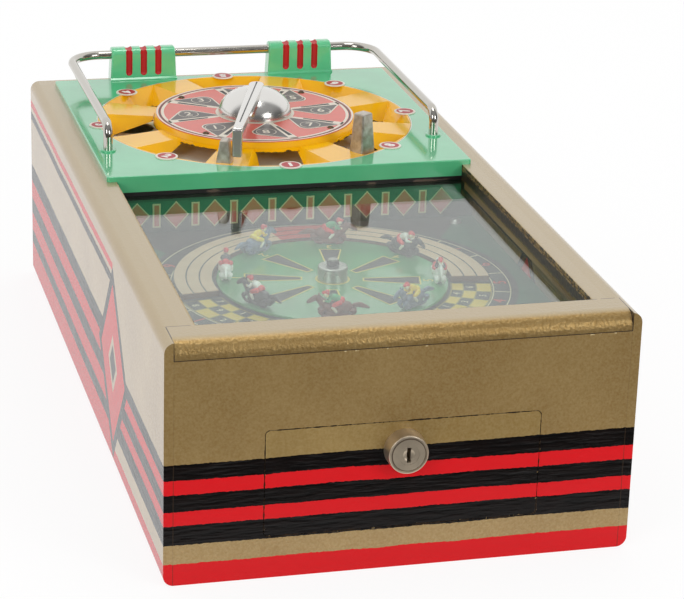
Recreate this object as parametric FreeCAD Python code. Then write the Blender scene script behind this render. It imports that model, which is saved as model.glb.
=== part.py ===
import FreeCAD, Part
import math
import os
from FreeCAD import Vector

# Counter-top horse race game, in millimetres.
# Origin: middle of the underside. X to the right, Y to the back, Z up.

# Cabinet
cabinet_width = 280.0
cabinet_depth = 530.0
cabinet_height = 149.0
side_thickness = 13.0
side_edge_radius = 6.3
end_thickness = 12.0
rebate_width = 7.4
base_thickness = 9.0
rail_depth = 25.2
rail_height = 11.0
rail_nose_radius = 10.0
wood_gap = 0.3

# Glass and what holds it
strip_width = 9.4
glass_recess = 10.5
glass_thickness = 3.0
glass_gap = 0.4
glass_into_rail = 8.0
head_overlap = 0.9
ledge_width = 7.0
ledge_height = 6.0
kerf_recess = 2.2
kerf_size = 0.8
seal_width = 4.0
title_thickness = 3.0

# Playfield
playfield_drop = 38.8
playfield_thickness = 5.0
cleat_width = 24.0
cleat_height = 12.0
track_side_margin = 27.1
track_rear_margin = 13.3
disc_gap = 2.2
disc_thickness = 1.7
disc_lift = 1.2
lane_width = 8.1
lane_count = 3
lane_joint = 0.2
track_height = 4.0
track_half_angle = 97.5
lane_groove = 0.8
cap_radius = 9.4
cap_height = 9.2
cap_wall = 1.0
cap_nut_width = 7.0
cap_nut_height = 3.4
cap_edge_radius = 1.0
disc_edge_radius = 0.4

# Horses
horse_count = 8
horse_inset = 6.0
horse_gap = 13.6
horse_model_length = 39.0
horse_start_angle = 12.0
horse_body_height = 6.6
horse_body_radius = 4.0
horse_body_length = 12.0

# Spindle drive
spindle_radius = 3.0
spindle_end = 0.8
spindle_flange_height = 0.9
shaft_overrun = 3.0
spindle_bushing_wall = 2.6
bushing_wall = 2.5
bushing_flange_width = 2.5
spindle_flange_plate = 1.0
shaft_flange_height = 1.5
running_gap = 0.05
mech_drop = 16.2
mech_thickness = 2.5
mech_half_width = 60.0
mech_length = 135.0
mech_corner = 6.0
boss_wall = 3.6
standoff_radius = 4.0
standoff_inset = 10.0
gear_module = 1.25
gear_teeth = 32
gear_backlash = 0.2
gear_thickness = 5.4
gear_lift = 1.3
ratchet_radius = 13.0
ratchet_teeth = 20
ratchet_thickness = 2.5
tooth_depth = 2.2
pawl_thickness = 2.0
pawl_gap = 0.5
pawl_lift = 0.3
pawl_length = 9.0
pawl_heel = 2.2
pawl_belly = 2.0
pawl_nose = 1.6
pawl_tip_gap = 0.9
pawl_pin_radius = 1.4
pawl_pin_inset = 3.6
pawl_pin_angle = 60.0
gear_hub_height = 4.0
rack_width = 7.2
rack_height = 4.0
rack_front_overrun = 26.0
rack_rear_overrun = 10.0
guide_length = 12.0
guide_wall = 3.0
guide_lip = 1.5
guide_reach = 4.0
front_guide_offset = 34.0
bridge_width = 20.0
bridge_setback = 30.0
bridge_tongue_half = 12.0
bridge_tab_height = 11.0
bridge_boss_wall = 3.0
shaft_radius = 4.0

# Top plate and coin head
plate_side_margin = 16.0
plate_thickness = 3.4
plate_back_margin = 13.4
plate_corner = 2.0
plate_edge_radius = 0.8
skirt_drop = 7.7
skirt_wall = 2.6
skirt_gap = 0.2
skirt_back_cut = 4.0
ring_side_margin = 14.4
ring_end_margin = 5.9
ring_gap = 0.2
ring_lip = 2.8
ring_depth = 12.6
ring_lip_height = 2.5
ring_rim = 0.4
pocket_reach = 39.8
hub_draft = 1.4
hub_rise = 3.9
hub_drop = 2.8
hub_wall = 2.5
pocket_count = 8
pocket_half_at_hub = 16.6
pocket_flare = 0.3246
pocket_side_slope = 0.785
pocket_wall_run = 9.8
pocket_wall_bow = 0.128
dial_margin = 0.6
dial_thickness = 0.6
dial_screw_inset = 7.2
dial_screw_radius = 1.3
dial_screw_ball = 3.0
dial_screw_head_radius = 2.6
dial_screw_head_height = 1.3
dial_screw_slot = 0.6
badge_radius = 7.6
badge_inset = 0.1
badge_height = 0.7
badge_edge_radius = 0.3

# Handle
dome_radius = 25.6
dome_height = 18.4
dome_rim_height = 0.4
bar_width = 6.8
bar_rear_width = 10.6
bar_straight = 12.0
bar_height = 5.0
bar_rise = 24.0
tab_depth = 4.6
tab_clearance = 3.5
bar_tail = 12.0
bar_bend_radius = 2.8
bar_edge_radius = 1.3
tab_foot_radius = 0.8
bar_groove_width = 0.9
bar_groove_depth = 0.7
bar_groove_front = 20.0
bar_groove_rear = 2.0
shaft_cover = 5.0
stop_gap = 0.3
peg_inset = 8.6
left_peg_angle = 23.9
left_peg_height = 15.3
left_peg_width = 12.8
left_peg_top = 5.4
right_peg_angle = 33.6
right_peg_height = 26.6
right_peg_width = 15.0
right_peg_top = 9.6
peg_length = 12.0
peg_socket = 7.8
peg_top_length = 8.64
peg_edge_radius = 1.2
left_contact = 9.2

# Coin shutter, hopper and cash drawer
shutter_inset = 5.6
shutter_thickness = 1.2
shutter_gap = 0.5
coin_hole_radius = 13.5
coin_inset = 23.6
collar_height = 3.0
spring_wire_radius = 0.8
spring_flange_gap = 1.7
spring_turns = 4
hopper_sheet = 1.0
hopper_drop = 23.0
hopper_side_margin = 19.0
hopper_clearance = 5.5
hopper_over_tray = 3.0
hopper_outlet_margin = 6.0
hopper_bridge_gap = 1.0
hopper_bridge_cut = 12.0
hopper_rack_gap = 2.0
hopper_rack_cut = 5.0
hopper_rack_headroom = 4.0
drawer_rear_setback = 44.1
door_half_width = 82.0
door_bottom = 26.0
door_height = 66.4
door_gap = 0.4
door_corner = 3.0
tray_lift = 0.6
hopper_back_gap = 8.0
tray_side_margin = 5.0
tray_height = 30.0
tray_wall = 2.0
runner_lip = 12.0
runner_under_tray = 15.0
runner_beside_tray = 4.0
runner_overrun = 10.0

# Lock
lock_height = 75.0
lock_face_radius = 11.8
lock_base_radius = 12.3
lock_protrusion = 10.2
lock_barrel_radius = 9.5
lock_plug_radius = 6.0
lock_nut_width = 23.0
lock_nut_height = 3.0
cam_length = 24.0
cam_width = 10.0
cam_thickness = 2.0
key_slot_width = 2.4
key_slot_height = 9.2
key_slot_depth = 14.0
key_dish_radius = 3.6
key_dish_depth = 0.8
lock_face_edge = 0.9
lock_groove_radius = 9.9
lock_groove_width = 0.6
lock_groove_depth = 0.4
lock_plug_recess = 0.1
lock_thread_overrun = 0.6
cam_gap = 1.0
cam_ring_wall = 2.0

# Guard rail
rod_radius = 3.175
rail_rise = 17.9
rail_side_margin = 10.3
rail_leg_setback = 57.7
rail_leg_bend = 8.0
rail_corner_bend = 22.0
rail_leg_below = 9.0
leg_boss_radius = 5.4
leg_boss_height = 1.2
leg_boss_edge = 0.8
rail_nut_width = 10.0
rail_nut_height = 5.0
nut_relief = 6.6
bracket_top_width = 46.8
bracket_foot_width = 49.2
bracket_depth = 12.0
bracket_height = 23.3
bracket_side_margin = 54.7
bracket_front_margin = 5.1
bracket_edge_radius = 4.5
bracket_side_radius = 1.2
bracket_foot_depth = 1.2
bracket_foot_height = 1.6
bracket_foot_chamfer = 1.1
flute_count = 3
flute_pitch = 10.8
flute_radius = 2.45
flute_foot = 3.0
flute_share = 0.75

# Screws
screw_head_radius = 4.4
screw_head_height = 2.6
screw_shank_radius = 1.75
screw_slot_width = 1.0
screw_slot_depth = 1.0
screw_tip_margin = 3.0
screw_front_margin = 5.0
screw_rear_margin = 4.0
screw_inset = 16.0
back_screw_head_radius = 3.4
back_screw_head_height = 1.8
back_screw_slot_depth = 0.7
back_screw_length = 26.0

# Places worked out from the sizes
half_width = cabinet_width / 2
front_y = -cabinet_depth / 2
back_y = cabinet_depth / 2
inner_x = half_width - side_thickness
rebate_x = inner_x + rebate_width
board_back_y = front_y + end_thickness
rail_back_y = front_y + rail_depth
strip_x = inner_x - strip_width
glass_top = cabinet_height - glass_recess
glass_bottom = glass_top - glass_thickness

plate_top = cabinet_height + plate_thickness
plate_width = cabinet_width - 2 * plate_side_margin
ring_radius = plate_width / 2 - ring_side_margin
plate_length = 2 * (ring_radius + ring_end_margin)
plate_back_y = back_y - plate_back_margin
plate_front_y = plate_back_y - plate_length
head_y = plate_front_y + plate_length / 2
hub_radius = ring_radius - pocket_reach
hub_foot_radius = hub_radius + hub_draft
hub_top = plate_top + hub_rise
dial_radius = hub_radius - dial_margin
dial_screw_circle = dial_radius - dial_screw_inset
dial_top = hub_top + dial_thickness
badge_circle = ring_radius - badge_inset
peg_circle = ring_radius - peg_inset
shaft_bushing_radius = shaft_radius + bushing_wall
flange_top = hub_top - hub_wall
shaft_flange_radius = shaft_bushing_radius + bushing_flange_width

title_y = plate_front_y + head_overlap
title_back_y = title_y + title_thickness
playfield_top = cabinet_height - playfield_drop
playfield_bottom = playfield_top - playfield_thickness
track_outer_radius = inner_x - track_side_margin
track_inner_radius = track_outer_radius - lane_count * (lane_width + lane_joint) + lane_joint
turntable_y = title_y - track_rear_margin - track_outer_radius
disc_radius = track_inner_radius - disc_gap
disc_bottom = playfield_top + disc_lift
disc_top = disc_bottom + disc_thickness
horse_circle_radius = disc_radius - horse_inset
horse_length = 2 * math.pi * horse_circle_radius / horse_count - horse_gap
bushing_radius = spindle_radius + spindle_bushing_wall

mech_top = playfield_top - mech_drop
mech_bottom = mech_top - mech_thickness
gear_radius = gear_module * gear_teeth / 2
gear_bottom = mech_top + gear_lift
gear_top = gear_bottom + gear_thickness
rack_bottom = (gear_bottom + gear_top - rack_height) / 2
rack_inner_x = gear_radius - gear_module
rack_outer_x = rack_inner_x + rack_width
bridge_y = head_y - bridge_setback

knob_bottom = dial_top + stop_gap
shaft_top = knob_bottom + dome_height - shaft_cover
bar_top = plate_top + bar_rise
tab_bottom = plate_top + tab_clearance
tab_reach = peg_circle + tab_depth / 2
shutter_radius = ring_radius - shutter_inset
coin_circle = ring_radius - coin_inset
shutter_top = plate_top - ring_depth - shutter_gap
shutter_bottom = shutter_top - shutter_thickness
collar_top = shutter_top + collar_height
spring_radius = shaft_flange_radius + spring_flange_gap + spring_wire_radius
peg_side = left_contact / 2 + bar_width / 2 + stop_gap
handle_angle = left_peg_angle - math.degrees(math.asin(peg_side / peg_circle))

door_top = door_bottom + door_height
tray_half_width = door_half_width - tray_side_margin
tray_bottom = door_bottom + door_gap + tray_lift
tray_top = tray_bottom + tray_height
drawer_rear = head_y - drawer_rear_setback
hopper_top = cabinet_height - hopper_drop
hopper_outlet = tray_top + hopper_over_tray
hopper_front = title_back_y + hopper_clearance
hopper_back = back_y - end_thickness - hopper_back_gap
hopper_top_half = inner_x - hopper_side_margin
hopper_outlet_half = tray_half_width - hopper_outlet_margin

rod_z = plate_top + rail_rise
rail_half_width = plate_width / 2 - rail_side_margin
leg_y = plate_front_y + rail_leg_setback
bracket_offset = rail_half_width - bracket_side_margin
bracket_front_y = plate_back_y - bracket_front_margin
back_bar_y = bracket_front_y + bracket_depth / 2


def save(name, *solids):
    """Writes one named sub-part, a solid or a group of separate solids."""
    shape = solids[0] if len(solids) == 1 else Part.makeCompound(list(solids))
    shape.exportStep("parts/" + name + ".step")


def box(x0, x1, y0, y1, z0, z1):
    """Box between two corners."""
    return Part.makeBox(x1 - x0, y1 - y0, z1 - z0, Vector(x0, y0, z0))


def rod(radius, z0, z1, x=0.0, y=0.0):
    """Upright cylinder from z0 to z1."""
    return Part.makeCylinder(radius, z1 - z0, Vector(x, y, z0))


def rod_y(radius, y0, y1, x=0.0, z=0.0):
    """Cylinder along Y."""
    return Part.makeCylinder(radius, y1 - y0, Vector(x, y0, z), Vector(0, 1, 0))


def prism(points, z0, z1):
    """Upright prism over a closed outline of (x, y) points."""
    wire = Part.makePolygon([Vector(x, y, z0) for x, y in points + points[:1]])
    return Part.Face(wire).extrude(Vector(0, 0, z1 - z0))


def turned(profile, x=0.0, y=0.0):
    """Solid of revolution about an upright axis from (radius, z) points."""
    wire = Part.makePolygon([Vector(x + r, y, z) for r, z in profile + profile[:1]])
    return Part.Face(wire).revolve(Vector(x, y, 0), Vector(0, 0, 1), 360)


def mirrored(shape):
    """The same piece on the other side of the cabinet."""
    return shape.mirror(Vector(0, 0, 0), Vector(1, 0, 0))


def from_front(radius, degrees, centre_y):
    """Point on a circle, counted clockwise from the front seen from above."""
    turn = math.radians(degrees)
    return -radius * math.sin(turn), centre_y - radius * math.cos(turn)


def spun(shape, degrees, centre_y):
    """Piece turned clockwise seen from above about an upright axis."""
    copy = shape.copy()
    copy.rotate(Vector(0, centre_y, 0), Vector(0, 0, 1), -degrees)
    return copy


def edges_along(shape, axis, test):
    """Straight edges along one axis whose middle passes the test."""
    found = []
    for edge in shape.Edges:
        ends = edge.Vertexes
        if len(ends) != 2:
            continue
        run = ends[1].Point.sub(ends[0].Point)
        if run.Length > 0 and abs(run.dot(axis)) > 0.999 * run.Length and test(edge.CenterOfMass):
            found.append(edge)
    return found


def round_head_screw(x, y, z):
    """Round-headed wood screw, head down to z on the playfield."""
    ball = (screw_head_radius ** 2 + screw_head_height ** 2) / (2 * screw_head_height)
    head = Part.makeSphere(ball, Vector(x, y, z + screw_head_height - ball))
    head = head.common(rod(screw_head_radius + 1, z, z + screw_head_height, x, y))
    top, half = z + screw_head_height, screw_slot_width / 2
    slot = box(x - 2 * screw_head_radius, x + 2 * screw_head_radius, y - half, y + half,
               top - screw_slot_depth, top + 1)
    shank = rod(screw_shank_radius, z - screw_length(), z, x, y)
    return head.cut(slot).fuse(shank).removeSplitter()


def screw_length():
    """Playfield screws go through the board and most of the cleat."""
    return playfield_thickness + cleat_height - screw_tip_margin


def playfield_screw_places():
    """The four corners of the playfield board."""
    x = inner_x - screw_inset
    ends = (board_back_y + screw_inset + screw_front_margin,
            title_y - screw_inset + screw_rear_margin)
    return [(side * x, y) for side in (-1, 1) for y in ends]


def back_screw_places():
    """Three screws down each side of the back board, as (x, z)."""
    x = (inner_x + rebate_x) / 2
    heights = (cabinet_height / 6, cabinet_height / 2, cabinet_height * 5 / 6)
    return [(side * x, z) for side in (-1, 1) for z in heights]


def back_screw(x, z):
    """Round-headed screw through the back board into a side board."""
    head = Part.makeCone(back_screw_head_radius, back_screw_head_radius * 0.6,
                         back_screw_head_height,
                         Vector(x, back_y, z), Vector(0, 1, 0))
    shank = rod_y(screw_shank_radius, back_y - back_screw_length, back_y, x, z)
    slot_y, half = back_y + back_screw_head_height - back_screw_slot_depth, screw_slot_width / 2
    slot = box(x - 5, x + 5, slot_y, slot_y + 3, z - half, z + half)
    return head.fuse(shank).cut(slot).removeSplitter()


def side_board():
    """Right side board, rebated for the front board, its rail and the back board."""
    board = box(inner_x, half_width, front_y, back_y, 0, cabinet_height)
    outer = edges_along(board, Vector(0, 1, 0), lambda p: p.x > half_width - 1)
    board = board.makeFillet(side_edge_radius, outer)
    rail_z = cabinet_height - rail_height
    board = board.cut(box(inner_x, rebate_x, front_y, board_back_y, 0, rail_z))
    board = board.cut(box(inner_x, rebate_x, front_y, rail_back_y, rail_z, cabinet_height))
    board = board.cut(box(inner_x, rebate_x, back_y - end_thickness, back_y, 0, cabinet_height))
    for x, z in back_screw_places():
        board = board.cut(rod_y(screw_shank_radius, back_y - back_screw_length, back_y, x, z))
    return board


def rounded_door(half, z0, z1, y0, y1, radius):
    """Upright panel with its four corners rounded, facing the front."""
    panel = box(-half, half, y0, y1, z0, z1)
    return panel.makeFillet(radius, edges_along(panel, Vector(0, 1, 0), lambda p: True))


def front_board():
    """Front board with the opening for the cash drawer."""
    board = box(-rebate_x, rebate_x, front_y, board_back_y, 0, cabinet_height - rail_height)
    opening = rounded_door(door_half_width, door_bottom, door_top, front_y - 1,
                           board_back_y + 1, door_corner)
    return board.cut(opening)


def front_rail():
    """Rounded nose across the front that holds the glass in."""
    z0 = cabinet_height - rail_height
    rail = box(-rebate_x, rebate_x, front_y, rail_back_y, z0, cabinet_height)
    nose = edges_along(rail, Vector(1, 0, 0),
                       lambda p: p.y < front_y + 1 and p.z > cabinet_height - 1)
    rail = rail.makeFillet(rail_nose_radius, nose)
    seat = box(-inner_x, inner_x, rail_back_y - glass_into_rail - glass_gap, rail_back_y + 1,
               z0 - 1, glass_top)
    return rail.cut(seat)


def back_board():
    """Back board, screwed on so that the works can be reached."""
    board = box(-rebate_x, rebate_x, back_y - end_thickness, back_y, 0, cabinet_height)
    for x, z in back_screw_places():
        board = board.cut(rod_y(screw_shank_radius, back_y - end_thickness, back_y, x, z))
    return board


def top_strip():
    """Strip along the right of the glass, with the saw kerf seen on its inner face."""
    strip = box(strip_x, inner_x, rail_back_y, back_y - end_thickness, glass_top, cabinet_height)
    kerf_z = cabinet_height - kerf_recess
    strip = strip.cut(box(strip_x, strip_x + kerf_size, rail_back_y, plate_front_y,
                          kerf_z - kerf_size, kerf_z))
    return strip.cut(rod(nut_relief, 0, cabinet_height, rail_half_width, leg_y))


def glass_ledges():
    """Strips under the glass at both sides and the front."""
    z0 = glass_bottom - ledge_height
    side = box(inner_x - ledge_width, inner_x, board_back_y + ledge_width + wood_gap,
               title_y, z0, glass_bottom)
    front = box(-inner_x, inner_x, board_back_y, board_back_y + ledge_width, z0, glass_bottom)
    return side, mirrored(side), front


def playfield_board():
    """Printed board that carries the track and the turntable."""
    x = inner_x - glass_gap
    board = box(-x, x, board_back_y, title_back_y, playfield_bottom, playfield_top)
    board = board.cut(rod(bushing_radius, playfield_bottom, playfield_top, 0, turntable_y))
    for sx, sy in playfield_screw_places():
        board = board.cut(rod(screw_shank_radius, playfield_bottom, playfield_top, sx, sy))
    return board


def cleat():
    """Wooden cleat on the right side board under the playfield."""
    strip = box(inner_x - cleat_width, inner_x, board_back_y, title_y,
                playfield_bottom - cleat_height, playfield_bottom)
    for sx, sy in playfield_screw_places():
        strip = strip.cut(rod(screw_shank_radius, playfield_top - screw_length(),
                              playfield_bottom, sx, sy))
    return strip


def track_ring():
    """Raised lanes round the back of the turntable."""
    z0, z1 = playfield_top, playfield_top + track_height
    ring = rod(track_outer_radius, z0, z1, 0, turntable_y)
    ring = ring.cut(rod(track_inner_radius, z0, z1, 0, turntable_y))
    for lane in range(1, lane_count):
        r = track_inner_radius + lane * (lane_width + lane_joint) - lane_joint / 2
        groove = rod(r + lane_groove / 2, z1 - lane_groove / 2, z1, 0, turntable_y)
        ring = ring.cut(groove.cut(rod(r - lane_groove / 2, 0, z1, 0, turntable_y)))
    far = 3 * track_outer_radius
    low = [from_front(far, side * (180 - track_half_angle), turntable_y) for side in (-1, 1)]
    wedge = [(0, turntable_y), low[1], (low[1][0], turntable_y - far),
             (low[0][0], turntable_y - far), low[0]]
    return ring.cut(prism(wedge, z0 - 1, z1 + 1))


def turntable_disc():
    """Disc that carries the horses."""
    disc = rod(disc_radius, disc_bottom, disc_top, 0, turntable_y)
    disc = disc.cut(rod(spindle_radius, disc_bottom, disc_top, 0, turntable_y))
    return disc.makeFillet(disc_edge_radius, [e for e in disc.Edges if e.BoundBox.XLength > disc_radius])


def hub_cap():
    """Bright cap over the middle of the turntable."""
    outer = rod(cap_radius, disc_top, disc_top + cap_height, 0, turntable_y)
    rim = [e for e in outer.Edges if e.Closed and e.BoundBox.ZMin > disc_top + 1]
    outer = outer.makeFillet(cap_edge_radius, rim)
    inner = rod(cap_radius - cap_wall, disc_top, disc_top + cap_height - cap_wall, 0, turntable_y)
    return outer.cut(inner).cut(rod(spindle_radius, disc_top, disc_top + cap_height + 1,
                                    0, turntable_y))


def hexagon(width, z0, z1, x, y):
    """Hexagonal prism, measured across the flats."""
    r = width / math.sqrt(3)
    points = [(x + r * math.cos(math.radians(60 * k)), y + r * math.sin(math.radians(60 * k)))
              for k in range(6)]
    return prism(points, z0, z1)


def cap_nut():
    """Nut that holds the cap and the disc on the spindle."""
    z0 = disc_top + cap_height
    return hexagon(cap_nut_width, z0, z0 + cap_nut_height, 0, turntable_y).cut(
        rod(spindle_radius, z0, z0 + cap_nut_height, 0, turntable_y))


def spindle():
    """Turntable spindle with the flange that the disc sits on."""
    z1 = disc_top + cap_height + cap_nut_height + spindle_end
    shaft = rod(spindle_radius, mech_bottom - shaft_overrun, z1, 0, turntable_y)
    return shaft.fuse(rod(3 * spindle_radius, disc_bottom - spindle_flange_height, disc_bottom,
                          0, turntable_y))


def spindle_bushing():
    """Flanged bushing pressed up into the playfield board."""
    tube = rod(bushing_radius, playfield_bottom, playfield_top, 0, turntable_y)
    tube = tube.fuse(rod(bushing_radius + bushing_flange_width,
                         playfield_bottom - spindle_flange_plate, playfield_bottom,
                         0, turntable_y))
    return tube.cut(rod(spindle_radius + running_gap, 0, playfield_top, 0, turntable_y))


def mechanism_plate():
    """Steel plate hung below the playfield."""
    y0 = turntable_y - mech_length / 2
    plate = box(-mech_half_width, mech_half_width, y0, y0 + mech_length, mech_bottom, mech_top)
    corners = edges_along(plate, Vector(0, 0, 1), lambda p: True)
    plate = plate.makeFillet(mech_corner, corners)
    plate = plate.fuse(rod(spindle_radius + boss_wall, mech_top, gear_bottom - stop_gap,
                           0, turntable_y))
    return plate.cut(rod(spindle_radius + running_gap, 0, gear_bottom, 0, turntable_y))


def mechanism_standoffs():
    """Four pillars between the mechanism plate and the playfield board."""
    x = mech_half_width - standoff_inset
    y = mech_length / 2 - standoff_inset
    return [rod(standoff_radius, mech_top, playfield_bottom, sx * x, turntable_y + sy * y)
            for sx in (-1, 1) for sy in (-1, 1)]


def involute_flank(base, r):
    """Angle by which an involute has turned at radius r."""
    return math.sqrt((r / base) ** 2 - 1) - math.acos(base / r)


def gear(x, y, z0, z1, bore, phase):
    """Spur gear with involute teeth, one tooth centred at the phase angle."""
    pressure = math.radians(20)
    base = gear_radius * math.cos(pressure)
    root, tip = gear_radius - 1.25 * gear_module, gear_radius + gear_module
    half = (math.pi * gear_module / 2 - gear_backlash) / 2 / gear_radius
    half += involute_flank(base, gear_radius)
    radii = [base + (tip - base) * k / 4 for k in range(5)]
    side = [(root, half)] + [(r, half - involute_flank(base, r)) for r in radii]
    outline = []
    for tooth in range(gear_teeth):
        middle = phase + 2 * math.pi * tooth / gear_teeth
        for sign, flank in ((-1, side), (1, side[::-1])):
            outline += [(x + r * math.cos(middle + sign * a), y + r * math.sin(middle + sign * a))
                        for r, a in flank]
    return prism(outline, z0, z1).cut(rod(bore, z0 - 1, z1 + 1, x, y))


def rack_tooth_offset(y):
    """How far the rack's nearest tooth lies beyond a height y along it."""
    pitch = math.pi * gear_module
    return (head_y + pitch / 2 - y) % pitch


def drive_gear():
    """Gear on the foot of the handle shaft; one tooth faces the rack."""
    hub = rod(2 * shaft_radius, gear_top, gear_top + gear_hub_height, 0, head_y)
    hub = hub.cut(rod(shaft_radius, gear_top, gear_top + gear_hub_height, 0, head_y))
    return gear(0, head_y, gear_bottom, gear_top, shaft_radius, 0.0).fuse(hub)


def drive_rack():
    """Toothed bar that carries the handle's stroke forward to the turntable."""
    pitch = math.pi * gear_module
    y0, y1 = turntable_y - rack_front_overrun, head_y + rack_rear_overrun
    half = (math.pi * gear_module / 2 - gear_backlash) / 2
    slope = math.tan(math.radians(20))
    deep, tip = gear_radius + 1.25 * gear_module, rack_inner_x
    outline = [(deep, y1), (rack_outer_x, y1), (rack_outer_x, y0), (deep, y0)]
    tooth = y0 + rack_tooth_offset(y0)
    while tooth + pitch / 2 < y1:
        wide, narrow = half + 1.25 * gear_module * slope, half - gear_module * slope
        if tooth - wide > y0:
            outline += [(deep, tooth - wide), (tip, tooth - narrow),
                        (tip, tooth + narrow), (deep, tooth + wide)]
        tooth += pitch
    return prism(outline, rack_bottom, rack_bottom + rack_height)


def kick_gear():
    """Gear that turns loose on the spindle and carries the pawl."""
    offset = rack_tooth_offset(turntable_y)
    phase = offset / gear_radius + math.pi / gear_teeth
    wheel = gear(0, turntable_y, gear_bottom, gear_top, spindle_radius + running_gap, phase)
    x, y = pawl_pivot()
    return wheel.cut(rod(pawl_pin_radius + running_gap, gear_bottom + 1, gear_top, x, y))


def pawl_pivot():
    """Place of the pawl's pin on the kick gear."""
    return from_front(gear_radius - pawl_pin_inset, -pawl_pin_angle, turntable_y)


def ratchet_wheel():
    """Saw-toothed wheel fixed to the spindle."""
    outline = []
    for k in range(ratchet_teeth):
        a = 2 * math.pi * k / ratchet_teeth
        inner = ratchet_radius - tooth_depth
        outline.append((ratchet_radius * math.cos(a), turntable_y + ratchet_radius * math.sin(a)))
        outline.append((inner * math.cos(a), turntable_y + inner * math.sin(a)))
    z0 = gear_top + 0.5
    wheel = prism(outline, z0, z0 + ratchet_thickness)
    return wheel.cut(rod(spindle_radius, z0, z0 + ratchet_thickness, 0, turntable_y))


def kick_pawl():
    """Pawl on the kick gear, held just clear of the ratchet wheel at rest."""
    x, y = pawl_pivot()
    out = Vector(x, y - turntable_y, 0).normalize()
    along = Vector(out.y, -out.x, 0)
    z0 = gear_top + pawl_lift
    pivot = Vector(x, y, 0)
    centre = Vector(0, turntable_y, 0)
    tip = centre + out * (ratchet_radius + pawl_gap) - along * pawl_length
    tip = tip + (tip - centre).normalize() * pawl_tip_gap
    points = [pivot + out * pawl_heel, pivot + along * pawl_heel, pivot - out * pawl_belly,
              tip, tip + out * pawl_nose]
    body = prism([(p.x, p.y) for p in points], z0, z0 + pawl_thickness)
    return body.fuse(rod(pawl_pin_radius, gear_bottom + 2, z0 + pawl_thickness, x, y))


def rack_guide(y):
    """Channel that the rack slides in, open towards the gears."""
    back = rack_outer_x + stop_gap
    z0 = rack_bottom - stop_gap
    z1 = rack_bottom + rack_height + stop_gap
    block = box(back - guide_reach, back + guide_wall, y - guide_length / 2, y + guide_length / 2,
                mech_top, z1 + guide_lip)
    return block.cut(box(back - guide_reach - 1, back, y - guide_length, y + guide_length, z0, z1))


def rear_bridge():
    """Steel cross bar that carries the foot of the handle shaft."""
    y0 = bridge_y - bridge_width / 2
    bar = box(-inner_x + wood_gap, inner_x - wood_gap, y0, y0 + bridge_width,
              mech_bottom, mech_top)
    half = bridge_tongue_half
    tongue = box(-half, half, y0 + bridge_width / 2, head_y + half, mech_bottom, mech_top)
    tab = box(inner_x - wood_gap - mech_thickness, inner_x - wood_gap, y0, y0 + bridge_width,
              mech_top, mech_top + bridge_tab_height)
    boss = rod(shaft_radius + bridge_boss_wall, mech_top, gear_bottom - stop_gap, 0, head_y)
    bar = bar.fuse([tongue, tab, mirrored(tab), boss])
    return bar.cut(rod(shaft_radius + running_gap, 0, gear_bottom, 0, head_y)).removeSplitter()


def pocket_cutter():
    """Tapered block that leaves one coin pocket open towards the front."""
    def side(u, drop):
        return pocket_half_at_hub + pocket_flare * (u - hub_radius) - pocket_side_slope * drop

    def outline(drop):
        wall = ring_radius - ring_rim - pocket_wall_run * drop / ring_depth
        corner_u, corner_v = wall, 0.0
        for _ in range(30):
            corner_v = side(corner_u, drop)
            corner_u = wall - pocket_wall_bow * corner_v
        start = hub_radius - 8
        return [(start, side(start, drop)), (corner_u, corner_v), (wall, 0),
                (corner_u, -corner_v), (start, -side(start, drop))]

    wires = []
    for drop in (0.0, ring_depth + 1.5):
        points = [Vector(-v, head_y - u, plate_top - drop) for u, v in outline(drop)]
        wires.append(Part.makePolygon(points + points[:1]))
    above = Part.Face(wires[0]).extrude(Vector(0, 0, 2))
    return Part.makeLoft(wires, True, True).fuse(above)


def coin_ring():
    """Cast ring of eight funnel pockets round a raised hub."""
    foot = hub_foot_radius
    under = plate_top - hub_drop
    low = plate_top - ring_depth
    lip_z = cabinet_height
    ring = turned([(foot - 0.2, plate_top), (ring_radius, plate_top), (ring_radius, lip_z),
                   (ring_radius + ring_lip, lip_z),
                   (ring_radius + ring_lip, lip_z - ring_lip_height),
                   (ring_radius, lip_z - ring_lip_height), (ring_radius, low),
                   (ring_radius - pocket_wall_run, low), (foot - 0.2, under)], 0, head_y)
    cutter = pocket_cutter().cut(rod(foot, 0, 2 * plate_top, 0, head_y))
    for pocket in range(pocket_count):
        ring = ring.cut(spun(cutter, 360 * pocket / pocket_count, head_y))
    drum = turned([(0, hub_top), (hub_radius, hub_top), (foot, under), (foot - hub_wall, under),
                   (hub_radius - hub_wall, hub_top - hub_wall), (0, hub_top - hub_wall)], 0, head_y)
    ring = ring.fuse(drum).removeSplitter()
    ring = ring.cut(rod(shaft_bushing_radius, 0, 2 * plate_top, 0, head_y))
    for x, y in dial_screw_places():
        ring = ring.cut(rod(dial_screw_radius, flange_top, hub_top + 1, x, y))
    for peg in (stop_peg(left_peg_angle, left_peg_width, left_peg_top, left_peg_height),
                stop_peg(-right_peg_angle, right_peg_width, right_peg_top, right_peg_height)):
        ring = ring.cut(peg)
    return ring


def dial_screw_places():
    """Four screws on the diagonals of the dial."""
    return [from_front(dial_screw_circle, 45 + 90 * k, head_y) for k in range(4)]


def dial_plate():
    """Printed metal dial on top of the hub."""
    plate = rod(dial_radius, hub_top, dial_top, 0, head_y)
    plate = plate.cut(rod(shaft_bushing_radius, 0, dial_top, 0, head_y))
    for x, y in dial_screw_places():
        plate = plate.cut(rod(dial_screw_radius, hub_top, dial_top, x, y))
    return plate


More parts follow.
